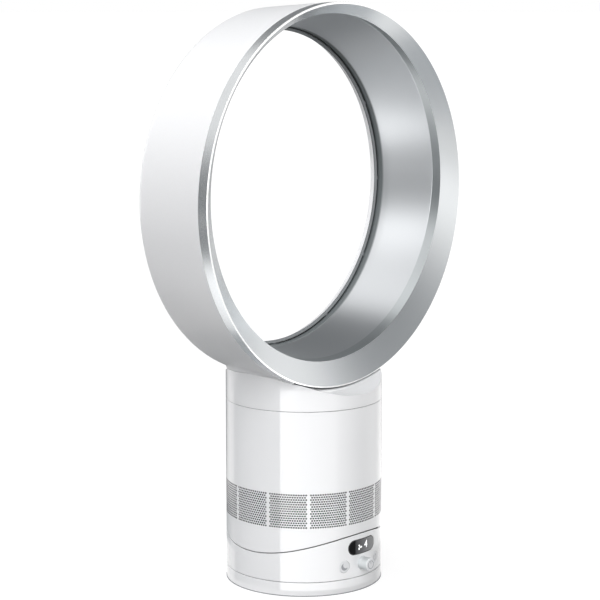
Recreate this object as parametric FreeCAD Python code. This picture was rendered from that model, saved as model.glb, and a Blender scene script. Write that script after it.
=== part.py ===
"""Bladeless desk fan: a foot, a turning upper base, a tilting fan body and an air loop."""
import FreeCAD, Part
import math
import os

V = FreeCAD.Vector
X_DIR = V(1, 0, 0)
Y_DIR = V(0, 1, 0)
Z_DIR = V(0, 0, 1)
ORIGIN = V(0, 0, 0)

# Driving dimensions, in millimetres and degrees. The front of the fan faces -Y.

# The drum that the foot, the upper base, the fan body and the collar share
base_radius = 76.0
wall = 2.5
shell_radius = base_radius - wall
seam_gap = 0.6

# Heights of the seams on the drum
turn_seam_z = 13.75
collar_seam_z = 179.1

# The tilt saddle is a cylinder about a line along X, high above the base
tilt_axis_z = 218.3
tilt_radius = 178.8
tilt_limit = 10.0
saddle_plate = 2.5

# The air loop is a set of circles about lines along Y, with the inner ones set higher
loop_z = 377.5
loop_front_y = -49.4
loop_rear_y = 47.1
trim_joint_y = -38.0
loop_wall = 2.0
loop_rear_wall = 2.5
trim_front_radius = 181.8
casing_front_radius = 181.4
casing_rear_radius = 177.0
rear_round = 10.0
flare_outer = {"radius": 180.1, "z": 377.0, "y": loop_front_y}
flare_inner = {"radius": 164.5, "z": 384.0, "y": -37.3}
guide_end = {"radius": 164.6, "z": 385.8, "y": -27.0}
throat_z = 381.5
lip_radius = 151.2
lip_y = 37.8
lip_thickness = 2.8
lip_joint_radius = 160.0

# The perforated air inlet round the fan body
inlet_panels = 12
inlet_low_z = 66.3
inlet_high_z = 100.5
inlet_half_angle = 14.2
inlet_columns = 5
inlet_rows = 5
inlet_hole_radius = 2.0
inlet_screen_wall = 1.6

# The controls on the front of the upper base
display_z = 43.3
display_half_width = 18.65
display_height = 15.0
controls_z = 26.4
button_angle = 17.4
button_radius = 6.0
knob_radius = 6.3
knob_face_y = -86.5

# The turntable gear and the pinion that walks round it
gear_module = 1.5
gear_teeth = 40
pinion_teeth = 12
gear_backlash = 0.2

# The fan inside the body
impeller_blades = 9
diffuser_vane_count = 11
shaft_radius = 2.5
running_clearance = 0.05
bucket_radius = 36.0
housing_radius = 62.5

nodes = {}


def disc(radius, z0, z1, x=0.0, y=0.0):
    """A solid round plate or pin on an upright line."""
    return Part.makeCylinder(radius, z1 - z0, V(x, y, z0))


def tube(outer, inner, z0, z1, x=0.0, y=0.0):
    """An upright tube."""
    return disc(outer, z0, z1, x, y).cut(disc(inner, z0, z1, x, y))


def pin_y(radius, y0, y1, x=0.0, z=0.0):
    """A pin along Y."""
    return Part.makeCylinder(radius, y1 - y0, V(x, y0, z), Y_DIR)


def box(x0, x1, y0, y1, z0, z1):
    """A box between two corners."""
    return Part.makeBox(x1 - x0, y1 - y0, z1 - z0, V(x0, y0, z0))


def joined(shapes):
    """One solid from pieces that touch or overlap."""
    whole = shapes[0]
    for shape in shapes[1:]:
        whole = whole.fuse(shape)
    return whole.removeSplitter()


def group(shapes):
    """Separate solids that share one node."""
    return Part.makeCompound(shapes)


def around(shape, count, first=0.0, centre=ORIGIN, axis=Z_DIR):
    """Copies of a shape, evenly spaced round an axis."""
    copies = []
    for index in range(count):
        copy = shape.copy()
        copy.rotate(centre, axis, first + index * 360.0 / count)
        copies.append(copy)
    return copies


def outline(start, *steps):
    """A closed wire in the XZ plane: a step is a point, or the middle and end points of an arc."""
    edges = []
    here = V(start[0], 0, start[1])
    for step in steps + (start,):
        if isinstance(step[0], tuple):
            middle = V(step[0][0], 0, step[0][1])
            end = V(step[1][0], 0, step[1][1])
            edges.append(Part.Arc(here, middle, end).toShape())
        else:
            end = V(step[0], 0, step[1])
            if end.distanceToPoint(here) < 1e-6:
                continue
            edges.append(Part.LineSegment(here, end).toShape())
        here = end
    return Part.Wire(edges)


def turned(start, *steps):
    """A solid of revolution about Z from an outline of (radius, height)."""
    return Part.Face(outline(start, *steps)).revolve(ORIGIN, Z_DIR, 360)


def loop_turned(centre_z, start, *steps, angle=360.0):
    """A solid of revolution about a line along Y at centre_z, from an outline of (radius, y)."""
    face = Part.Face(outline(start, *steps))
    face.rotate(ORIGIN, X_DIR, -90)
    face.translate(V(0, 0, centre_z))
    return face.revolve(V(0, 0, centre_z), Y_DIR, angle)


def loop_circle(radius, centre_z, y):
    """A circle of the air loop."""
    return Part.Wire(Part.Circle(V(0, y, centre_z), Y_DIR, radius).toShape())


def loop_loft(stations):
    """A solid through the loop's circles, given as (radius, centre height, y)."""
    return Part.makeLoft([loop_circle(*station) for station in stations], True, True)


def saddle_cylinder(radius):
    """The whole cylinder about the tilt axis."""
    return Part.makeCylinder(radius, 4 * base_radius, V(-2 * base_radius, 0, tilt_axis_z), X_DIR)


def saddle_block(near, far, x0, x1, angle0, angle1):
    """A curved bar about the tilt axis, from one angle behind straight down to another."""
    corners = [V(x0, 0, tilt_axis_z - near), V(x1, 0, tilt_axis_z - near),
               V(x1, 0, tilt_axis_z - far), V(x0, 0, tilt_axis_z - far)]
    face = Part.Face(Part.makePolygon(corners + [corners[0]]))
    axis_point = V(0, 0, tilt_axis_z)
    face.rotate(axis_point, X_DIR, angle0)
    return face.revolve(axis_point, X_DIR, angle1 - angle0)


def radial(angle, distance, z):
    """A point round the drum: angle 0 is the front, and positive angles go towards +X."""
    turn = math.radians(angle)
    return V(distance * math.sin(turn), -distance * math.cos(turn), z)


def radial_pin(radius, near, far, angle, z):
    """A pin that points straight out of the drum's wall."""
    start = radial(angle, near, z)
    return Part.makeCylinder(radius, far - near, start, radial(angle, 1.0, 0.0))


def stadium(half_width, height, y0, y1, z):
    """A bar along Y with a long rounded section."""
    radius = height / 2.0
    flat = half_width - radius
    return joined([box(-flat, flat, y0, y1, z - radius, z + radius),
                   pin_y(radius, y0, y1, -flat, z),
                   pin_y(radius, y0, y1, flat, z)])


def screw(head_radius, shank_radius, head_z, shoulder_z, tip_z, x, y):
    """A screw on an upright line, with its head at head_z."""
    head = disc(head_radius, min(head_z, shoulder_z), max(head_z, shoulder_z), x, y)
    shank = disc(shank_radius, min(shoulder_z, tip_z), max(shoulder_z, tip_z), x, y)
    slot = box(x - head_radius, x + head_radius, y - 0.4, y + 0.4,
               min(head_z, head_z + 0.8 * math.copysign(1, shoulder_z - head_z)),
               max(head_z, head_z + 0.8 * math.copysign(1, shoulder_z - head_z)))
    return head.fuse(shank).cut(slot)


def involute_angle(base_circle, radius):
    """The angle that an involute flank has turned through by the time it reaches a radius."""
    pressure = math.acos(base_circle / radius)
    return math.tan(pressure) - pressure


def spur_gear(teeth, z0, z1, bore_radius):
    """A spur gear about Z with a tooth centred on +Y."""
    pitch = gear_module * teeth / 2.0
    base_circle = pitch * math.cos(math.radians(20))
    root = pitch - 1.25 * gear_module
    tip = pitch + gear_module
    start = max(root, base_circle + 0.01)
    half_tooth = (math.pi * gear_module / 2.0 - gear_backlash / 2.0) / pitch / 2.0
    half_at_base = half_tooth + involute_angle(base_circle, pitch)
    flank_steps = 5

    def place(radius, angle):
        return V(radius * math.sin(angle), radius * math.cos(angle), z0)

    corners = []
    for tooth in range(teeth):
        middle = tooth * 2 * math.pi / teeth
        rising = []
        for step in range(flank_steps):
            radius = start + (tip - start) * step / (flank_steps - 1)
            rising.append((radius, half_at_base - involute_angle(base_circle, radius)))
        corners.append(place(root, middle - rising[0][1]))
        for radius, half in rising:
            if radius > root + 0.02:
                corners.append(place(radius, middle - half))
        for radius, half in reversed(rising):
            if radius > root + 0.02:
                corners.append(place(radius, middle + half))
        corners.append(place(root, middle + rising[0][1]))
    wire = Part.makePolygon(corners + [corners[0]])
    gear = Part.Face(wire).extrude(V(0, 0, z1 - z0))
    if bore_radius:
        gear = gear.cut(disc(bore_radius, z0, z1))
    return gear


# Heights inside the foot and the upper base
foot_top_z = turn_seam_z - seam_gap / 2
floor_low_z = turn_seam_z + seam_gap / 2
floor_top_z = floor_low_z + wall
cover_low_z = 1.2
cover_top_z = 3.4
plate_low_z = foot_top_z - wall
pivot_radius = 22.0
gear_low_z = floor_top_z + 0.65
gear_top_z = gear_low_z + 5.0
pinion_y = gear_module * (gear_teeth + pinion_teeth) / 2.0
bracket_low_z = gear_top_z + 0.5
bracket_top_z = bracket_low_z + 1.5


def make_foot():
    """The foot that stands still: shell, cover, rubber ring and pad, pivot and the fixed gear."""
    boss_radius = 48.0
    boss_angles = [45, 135, 225, 315]
    gland_z = 7.8
    gland_radius = 4.2
    foot_low_z = 0.9
    rim_chamfer = 0.3
    plug_radius = 8.0
    skirt_radius = base_radius + 0.4
    skirt_bore = 71.0
    skirt_low_z = 0.3
    skirt_top_z = foot_low_z - 0.05

    shell = turned((pivot_radius, plate_low_z), (shell_radius, plate_low_z), (shell_radius, foot_low_z),
                   (base_radius - rim_chamfer, foot_low_z), (base_radius, foot_low_z + rim_chamfer),
                   (base_radius, foot_top_z), (pivot_radius, foot_top_z))
    bosses = []
    screws = []
    for angle in boss_angles:
        spot = radial(angle, boss_radius, 0)
        bosses.append(disc(4.0, cover_top_z, plate_low_z, spot.x, spot.y))
        screws.append(screw(3.2, 1.5, cover_low_z + 0.2, cover_low_z + 1.4, 9.0, spot.x, spot.y))
    shell = joined([shell] + bosses)
    shell = shell.cut(pin_y(gland_radius, shell_radius - 4, base_radius + 1, 0, gland_z))
    cover = disc(shell_radius, cover_low_z, cover_top_z)
    skirt = turned((skirt_bore, skirt_low_z), (skirt_radius, skirt_low_z), (skirt_radius, skirt_top_z),
                   (shell_radius, skirt_top_z), (shell_radius, cover_low_z + 0.5),
                   (skirt_bore, cover_low_z + 0.5))
    cover = joined([cover, skirt])
    rubber = tube(70.0, 60.0, 0.0, cover_low_z + 1.0)
    cover = cover.cut(rubber).cut(disc(plug_radius, cover_low_z, cover_top_z))
    for angle in boss_angles:
        spot = radial(angle, boss_radius, 0)
        cover = cover.cut(disc(3.2, cover_low_z, cover_low_z + 1.4, spot.x, spot.y))
        cover = cover.cut(disc(1.5, cover_low_z, cover_top_z, spot.x, spot.y))
        shell = shell.cut(disc(1.5, cover_top_z, 9.0, spot.x, spot.y))
    pivot = turned((16.0, plate_low_z - 2.2), (28.0, plate_low_z - 2.2), (28.0, plate_low_z),
                   (pivot_radius, plate_low_z), (pivot_radius, gear_top_z + 1.5),
                   (16.0, gear_top_z + 1.5))
    gland = turned((2.9, 0), (gland_radius, 0), (gland_radius, 5.0), (5.0, 5.0), (5.0, 5.8),
                   (4.6, 7.6), (2.9, 7.6))
    gland.rotate(ORIGIN, X_DIR, -90)
    gland.translate(V(0, base_radius - 5.0, gland_z))

    nodes["foot_shell"] = shell
    nodes["bottom_cover"] = cover
    nodes["rubber_foot_ring"] = rubber
    nodes["centre_pad"] = disc(plug_radius, 0.0, cover_top_z)
    nodes["cover_screws"] = group(screws)
    nodes["turntable_pivot"] = pivot
    nodes["slide_ring"] = tube(58.0, 50.0, foot_top_z, floor_low_z - running_clearance)
    nodes["oscillation_gear"] = spur_gear(gear_teeth, gear_low_z, gear_top_z, pivot_radius)
    nodes["cable_gland"] = gland


def make_upper_base():
    """The upper base that turns on the foot: shell, tilt cradle, controls and the turning motor."""
    bracket_half_width = 20.0
    bracket_front_y = 25.0
    bracket_rear_y = 53.0
    leg_front_y = 35.0
    motor_radius = 14.0
    motor_height = 11.0
    post_x = 50.0
    post_y = 36.0

    shell = turned((pivot_radius + running_clearance, floor_low_z), (base_radius, floor_low_z),
                   (base_radius, 70.0), (shell_radius, 70.0), (shell_radius, floor_top_z),
                   (pivot_radius + running_clearance, floor_top_z))
    shell = shell.cut(saddle_cylinder(tilt_radius + seam_gap / 2))
    shell = shell.cut(stadium(display_half_width, display_height, -base_radius - 2, -60, display_z))
    shell = shell.cut(pin_y(knob_radius + 0.2, -base_radius - 2, -66, 0, controls_z))
    for side in (-1, 1):
        shell = shell.cut(radial_pin(button_radius, 68, 80, side * button_angle, controls_z))

    cradle_near = tilt_radius + seam_gap / 2
    cradle_far = cradle_near + saddle_plate
    cradle = saddle_block(cradle_near, cradle_far, -base_radius, base_radius, -30, 30)
    posts = []
    screws = []
    for side_x in (-1, 1):
        for side_y in (-1, 1):
            x = side_x * post_x
            y = side_y * post_y
            posts.append(disc(4.0, floor_top_z, 48.0, x, y).cut(saddle_cylinder(cradle_far - 0.5)))
            screws.append(screw(3.4, 1.6, floor_low_z + 0.2, floor_low_z + 1.5, 30.0, x, y))
    cradle = joined([cradle] + posts)
    cradle = cradle.common(disc(shell_radius, floor_top_z, 70.0))
    slot_angle = rail_half_angle + tilt_limit + 0.4
    for side in (-1, 1):
        middle = side * rail_x
        cradle = cradle.cut(saddle_block(cradle_near - 1, cradle_far + 1, middle - rail_neck - 0.3,
                                         middle + rail_neck + 0.3, -slot_angle, slot_angle))
    cradle = cradle.cut(saddle_block(cradle_near - 1, cradle_far + 1, -11, 11, -13, 13))
    for side_x in (-1, 1):
        for side_y in (-1, 1):
            x = side_x * post_x
            y = side_y * post_y
            cradle = cradle.cut(disc(1.6, floor_top_z, 30.0, x, y))
            shell = shell.cut(disc(3.4, floor_low_z, floor_low_z + 1.5, x, y))
            shell = shell.cut(disc(1.6, floor_low_z, floor_top_z, x, y))

    bracket = box(-bracket_half_width, bracket_half_width, bracket_front_y, bracket_rear_y,
                  bracket_low_z, bracket_top_z)
    legs = [box(-bracket_half_width, -bracket_half_width + 3, leg_front_y, bracket_rear_y,
                floor_top_z, bracket_low_z),
            box(bracket_half_width - 3, bracket_half_width, leg_front_y, bracket_rear_y,
                floor_top_z, bracket_low_z)]
    bracket = joined([bracket] + legs)
    bracket = bracket.cut(disc(shaft_radius + 0.5, bracket_low_z, bracket_top_z, 0, pinion_y))
    motor = joined([disc(motor_radius, bracket_top_z, bracket_top_z + motor_height, 0, pinion_y),
                    disc(5.0, bracket_top_z + motor_height, bracket_top_z + motor_height + 1.0,
                         0, pinion_y)])

    nodes["upper_base_shell"] = shell
    nodes["tilt_cradle"] = cradle
    nodes["cradle_screws"] = group(screws)
    nodes["thrust_washer"] = tube(30.0, pivot_radius + 0.2, floor_top_z, gear_low_z - 0.1)
    nodes["motor_bracket"] = bracket
    nodes["oscillation_motor"] = motor


def make_pinion():
    """The pinion on the turning motor's shaft, with a gap facing the fixed gear's tooth."""
    gear = spur_gear(pinion_teeth, gear_low_z, gear_top_z, 0)
    half_pitch = 180.0 / pinion_teeth
    gear.rotate(ORIGIN, Z_DIR, 180 + half_pitch)
    gear.translate(V(0, pinion_y, 0))
    stub = disc(shaft_radius - 0.5, gear_top_z, bracket_top_z, 0, pinion_y)
    nodes["oscillation_pinion"] = joined([gear, stub])


def make_display():
    """The display: window, mask, lamps and board, one behind the other."""
    window_wall = 1.8
    board_front_y = -70.8
    board_rear_y = board_front_y + 1.4
    clearance = 0.1

    bar = stadium(display_half_width - clearance, display_height - 2 * clearance,
                  -base_radius - 2, -60, display_z)
    window = bar.common(tube(base_radius, base_radius - window_wall, 30, 60))
    frame = stadium(16.5, 12.0, -base_radius, board_front_y, display_z)
    frame = frame.cut(stadium(14.5, 9.0, -base_radius - 1, board_front_y + 1, display_z))
    mask = frame.common(disc(base_radius - window_wall, 30, 60))
    board = box(-17.0, 17.0, board_front_y, board_rear_y, display_z - 7.0, display_z + 6.8)
    lamps = [box(-7.2, -0.6, board_front_y - 1.8, board_front_y, display_z - 3.6, display_z + 3.6),
             box(0.6, 7.2, board_front_y - 1.8, board_front_y, display_z - 3.6, display_z + 3.6)]

    nodes["display_window"] = window
    nodes["display_mask"] = mask
    nodes["display_lamps"] = group(lamps)
    nodes["display_board"] = board


def make_controls():
    """Two push buttons, the turn and press knob, and the board behind them."""
    board_front_y = -60.0
    board_rear_y = board_front_y + 1.6
    board_half_width = 28.0
    board_top_z = 34.0
    cap_inner = 69.5
    switch_reach = 68.6
    encoder_front_y = -67.4
    flange_rear_y = -69.5
    flange_front_y = -71.2
    plunger_radius = 4.0

    board = box(-board_half_width, board_half_width, board_front_y, board_rear_y,
                floor_top_z, board_top_z)
    board = board.cut(pin_y(shaft_radius + 0.5, board_front_y, board_rear_y, 0, controls_z))
    names = {-1: "sleep_button", 1: "oscillation_button"}
    switches = []
    for side, name in names.items():
        angle = side * button_angle
        cap = radial_pin(button_radius - 0.12, cap_inner, 80, angle, controls_z)
        nodes[name] = cap.common(disc(base_radius, 10, 60))
        middle = side * 19.4
        body = box(middle - 3, middle + 3, board_front_y - 3.5, board_front_y,
                   controls_z - 3, controls_z + 3)
        nub = radial_pin(1.7, 64.5, switch_reach, angle, controls_z)
        nub = nub.common(box(-40, 40, -90, board_front_y, 0, 60))
        switches.append(joined([body, nub]))

    face_round = 1.0
    knob = turned((0, 0), (knob_radius - face_round, 0),
                  ((knob_radius - 0.293 * face_round, 0.293 * face_round), (knob_radius, face_round)),
                  (knob_radius, flange_front_y - knob_face_y),
                  (knob_radius + 1.2, flange_front_y - knob_face_y),
                  (knob_radius + 1.2, flange_rear_y - knob_face_y), (0, flange_rear_y - knob_face_y))
    knob.rotate(ORIGIN, X_DIR, -90)
    knob.translate(V(0, knob_face_y, controls_z))
    shaft = pin_y(shaft_radius, -82.0, -58.0, 0, controls_z)
    plunger = pin_y(plunger_radius, flange_rear_y, -62.0, 0, controls_z)
    plunger = plunger.cut(pin_y(shaft_radius + running_clearance, -72, -60, 0, controls_z))
    encoder = box(-6.5, 6.5, encoder_front_y, board_front_y, controls_z - 6.5, controls_z + 6.5)
    encoder = encoder.cut(pin_y(plunger_radius + running_clearance, encoder_front_y, board_front_y,
                                0, controls_z))

    nodes["control_board"] = board
    nodes["button_switches"] = group(switches)
    nodes["dial_encoder"] = encoder
    nodes["dial_plunger"] = plunger
    nodes["dial_knob"] = knob.cut(shaft)
    nodes["dial_shaft"] = shaft


# The tilt rails hang under the fan body and slide in the cradle's slots
rail_x = 32.0
rail_neck = 2.0
rail_flange = 6.0
rail_half_angle = 8.0

# Heights inside the fan body
ledge_z = 103.0
flange_top_z = ledge_z + wall
housing_top_z = 162.0
bucket_low_z = 137.5
bucket_joint_z = 150.0
bucket_top_z = 169.0
mount_ring_low_z = 163.5
mount_ring_top_z = collar_seam_z - seam_gap / 2 - 0.2
spigot_radius = 58.0
lug_radius = 62.0
lug_low_z = 168.0
lug_top_z = 171.0
lug_count = 3
lug_half_angle = 10.0
unlock_angle = 15.0
bearing_radius = 8.0
lower_bearing_z = 139.5
upper_bearing_z = 160.0
bearing_height = 5.0
rotor_low_z = 146.0
rotor_top_z = 158.0
rotor_radius = 12.5


def inlet_wedge():
    """The wedge of the drum that one inlet screen fills, centred on the front."""
    reach = 2 * base_radius
    left = radial(-inlet_half_angle, reach, inlet_low_z)
    right = radial(inlet_half_angle, reach, inlet_low_z)
    start = V(0, 0, inlet_low_z)
    face = Part.Face(Part.makePolygon([start, left, right, start]))
    return face.extrude(V(0, 0, inlet_high_z - inlet_low_z))


def inlet_panel():
    """One curved inlet screen with its grid of holes."""
    outside = tube(base_radius, base_radius - inlet_screen_wall, inlet_low_z, inlet_high_z)
    panel = outside.common(inlet_wedge())
    step_angle = 2 * inlet_half_angle / inlet_columns
    step_z = (inlet_high_z - inlet_low_z) / inlet_rows
    holes = []
    for column in range(inlet_columns):
        for row in range(inlet_rows):
            angle = -inlet_half_angle + (column + 0.5) * step_angle
            z = inlet_low_z + (row + 0.5) * step_z
            holes.append(radial_pin(inlet_hole_radius, base_radius - 5, base_radius + 2, angle, z))
    return panel.cut(group(holes))


def inlet_window():
    """The opening in the body shell that one screen fills."""
    return inlet_wedge().cut(disc(base_radius - 10, inlet_low_z, inlet_high_z))


def make_body():
    """The fan body's casing: perforated shell, rocker floor and tilt rails."""
    shell_top_z = collar_seam_z - seam_gap / 2
    rocker_outer = tilt_radius - seam_gap / 2
    shell = tube(base_radius, shell_radius, 30.0, shell_top_z)
    ledge = turned((shell_radius - 4.5, ledge_z - 1.6), (shell_radius, ledge_z - 1.6),
                   (shell_radius, ledge_z), (shell_radius - 4.5, ledge_z))
    shell = joined([shell, ledge]).common(saddle_cylinder(rocker_outer))
    shell = shell.cut(group(around(inlet_window(), inlet_panels)))

    floor = saddle_block(rocker_outer - saddle_plate, rocker_outer, -base_radius, base_radius, -30, 30)
    floor = floor.common(disc(shell_radius, 30, 75))
    standoffs = []
    for side_x in (-1, 1):
        for side_y in (-1, 1):
            post = disc(3.0, 41.0, 52.0, side_x * 38.0, side_y * 28.0)
            standoffs.append(post.common(saddle_cylinder(rocker_outer - 0.5)))
    floor = joined([floor] + standoffs).cut(disc(8.0, 30, 60))

    rails = []
    pads = []
    pad_near = tilt_radius + seam_gap / 2 + saddle_plate + running_clearance
    flange_near = pad_near + 0.35
    flange_far = flange_near + 2.5
    for side in (-1, 1):
        middle = side * rail_x
        neck = saddle_block(rocker_outer, flange_far, middle - rail_neck, middle + rail_neck,
                            -rail_half_angle, rail_half_angle)
        flange = saddle_block(flange_near, flange_far, middle - rail_flange, middle + rail_flange,
                              -rail_half_angle, rail_half_angle)
        rails.append(joined([neck, flange]))
        for edge in (-1, 1):
            inner = middle + edge * (rail_neck + 0.6)
            outer = middle + edge * rail_flange
            pads.append(saddle_block(pad_near, flange_near, min(inner, outer), max(inner, outer),
                                     -rail_half_angle, rail_half_angle))

    nodes["body_shell"] = shell
    nodes["inlet_screens"] = group(around(inlet_panel(), inlet_panels))
    nodes["rocker_floor"] = floor
    nodes["tilt_rails"] = group(rails)
    nodes["tilt_glide_pads"] = group(pads)


def make_drive_board():
    """The motor's control board on the rocker floor, with its larger components."""
    board_low_z = 52.0
    board_top_z = board_low_z + 1.6
    board = box(-44, 44, -33, 33, board_low_z, board_top_z)
    parts = [disc(6.0, board_top_z, board_top_z + 13.0, -28, 14),
             disc(4.0, board_top_z, board_top_z + 10.0, -28, -2),
             box(8, 26, -24, -10, board_top_z, board_top_z + 12),
             box(10, 34, 6, 24, board_top_z, board_top_z + 5)]
    nodes["drive_board"] = joined([board] + parts)


def make_airway():
    """The cone round the impeller, the vanes above it, foam, seal and screws."""
    housing = turned((42.2, ledge_z), (shell_radius, ledge_z), (shell_radius, flange_top_z),
                     (46.4, flange_top_z), (housing_radius, 134.0), (housing_radius, housing_top_z),
                     (housing_radius - wall, housing_top_z), (housing_radius - wall, 134.6))
    screws = []
    for angle in (30, 150, 270):
        spot = radial(angle, 71.2, 0)
        screws.append(screw(2.3, 1.2, flange_top_z + 1.4, flange_top_z, ledge_z - 1.2, spot.x, spot.y))
        hole = disc(1.2, ledge_z - 1.2, flange_top_z, spot.x, spot.y)
        housing = housing.cut(hole)
        nodes["body_shell"] = nodes["body_shell"].cut(hole)

    vane_low_z = 141.0
    vane_top_z = 156.0
    inner_ring = tube(bucket_radius + 1.5, bucket_radius, vane_low_z, vane_top_z)
    outer_ring = tube(housing_radius - wall, housing_radius - wall - 1.5, vane_low_z, vane_top_z)
    vane = box(-0.7, 0.7, bucket_radius + 1.0, housing_radius - wall - 1.0, -11.0, 11.0)
    vane.rotate(ORIGIN, Y_DIR, 32)
    vane.translate(V(0, 0, (vane_low_z + vane_top_z) / 2))
    vane = vane.common(tube(housing_radius - wall - 0.8, bucket_radius + 0.8, vane_low_z, vane_top_z))
    vanes = joined([inner_ring, outer_ring] + around(vane, diffuser_vane_count))

    nodes["impeller_housing"] = housing
    nodes["housing_screws"] = group(screws)
    nodes["diffuser_vanes"] = vanes
    nodes["duct_foam"] = tube(shell_radius - 0.3, housing_radius + 0.5, 108.0, 157.0)
    nodes["airway_seal"] = tube(shell_radius, housing_radius, housing_top_z - 4.0, housing_top_z)


def make_motor():
    """The fan motor in its two-part bucket, with bearings and windings."""
    inner = bucket_radius - 2.0
    lower = turned((bearing_radius - 2, bucket_low_z), (bucket_radius, bucket_low_z),
                   (bucket_radius, bucket_joint_z), (inner, bucket_joint_z), (inner, lower_bearing_z),
                   (bearing_radius + 2, lower_bearing_z),
                   (bearing_radius + 2, lower_bearing_z + bearing_height),
                   (bearing_radius, lower_bearing_z + bearing_height),
                   (bearing_radius, lower_bearing_z), (bearing_radius - 2, lower_bearing_z))
    upper = turned((0, bucket_top_z), (12, bucket_top_z), (30, 166.0), (bucket_radius, 160.0),
                   (bucket_radius, bucket_joint_z), (inner, bucket_joint_z), (inner, 159.2),
                   (29, 164.0), (bearing_radius + 2, 166.4), (bearing_radius + 2, upper_bearing_z),
                   (bearing_radius, upper_bearing_z), (bearing_radius, upper_bearing_z + bearing_height),
                   (0, upper_bearing_z + bearing_height))
    stator = tube(inner, rotor_radius + 0.6, rotor_low_z, rotor_top_z)
    slot = box(-3.0, 3.0, rotor_radius + 3.0, inner - 3.0, rotor_low_z, rotor_top_z)
    stator = stator.cut(group(around(slot, 6)))
    bearings = []
    for z in (lower_bearing_z, upper_bearing_z):
        bearings.append(tube(bearing_radius, shaft_radius + running_clearance, z, z + bearing_height))

    nodes["motor_bucket_lower"] = lower
    nodes["motor_bucket_upper"] = upper
    nodes["motor_stator"] = stator
    nodes["motor_bearings"] = group(bearings)


def make_impeller():
    """The mixed-flow impeller, its nut, the motor shaft and the magnet rotor."""
    hub_low_z = 108.0
    hub_top_z = 136.0
    hub = turned((shaft_radius, hub_low_z), (12.0, hub_low_z), (18.0, 114.0), (33.0, 133.0),
                 (34.0, hub_top_z), (shaft_radius, hub_top_z))
    half_thickness = 0.7
    sweep = 42.0
    levels = 5
    blade_low_z = 109.0
    blade_top_z = 133.0
    sections = []
    for level in range(levels):
        share = level / (levels - 1)
        z = blade_low_z + (blade_top_z - blade_low_z) * share
        root = 10.5 + 20.0 * share
        tip = 42.2 + 17.8 * (z - ledge_z) / (134.6 - ledge_z) - 1.0
        corners = [V(-half_thickness, root, z), V(half_thickness, root, z),
                   V(half_thickness, tip, z), V(-half_thickness, tip, z)]
        wire = Part.makePolygon(corners + [corners[0]])
        wire.rotate(ORIGIN, Z_DIR, sweep * share)
        sections.append(wire)
    blade = Part.makeLoft(sections, True, True)
    impeller = joined([hub] + around(blade, impeller_blades))
    nut = Part.Face(Part.makePolygon([V(5 * math.cos(math.radians(60 * i)),
                                        5 * math.sin(math.radians(60 * i)), hub_low_z - 3.5)
                                      for i in range(7)])).extrude(V(0, 0, 3.5))
    shaft = disc(shaft_radius, hub_low_z - 4.5, upper_bearing_z + bearing_height - 0.5)

    nodes["impeller"] = impeller
    nodes["impeller_nut"] = nut.cut(disc(shaft_radius, 100, 110))
    nodes["motor_shaft"] = shaft
    nodes["motor_rotor"] = tube(rotor_radius, shaft_radius, rotor_low_z, rotor_top_z)


def sector(outer, inner, z0, z1, angle0, angle1):
    """Part of an upright tube, between two angles round the drum."""
    face = Part.Face(outline((inner, z0), (outer, z0), (outer, z1), (inner, z1)))
    face.rotate(ORIGIN, Z_DIR, angle0 - 90)
    return face.revolve(ORIGIN, Z_DIR, angle1 - angle0)


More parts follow.
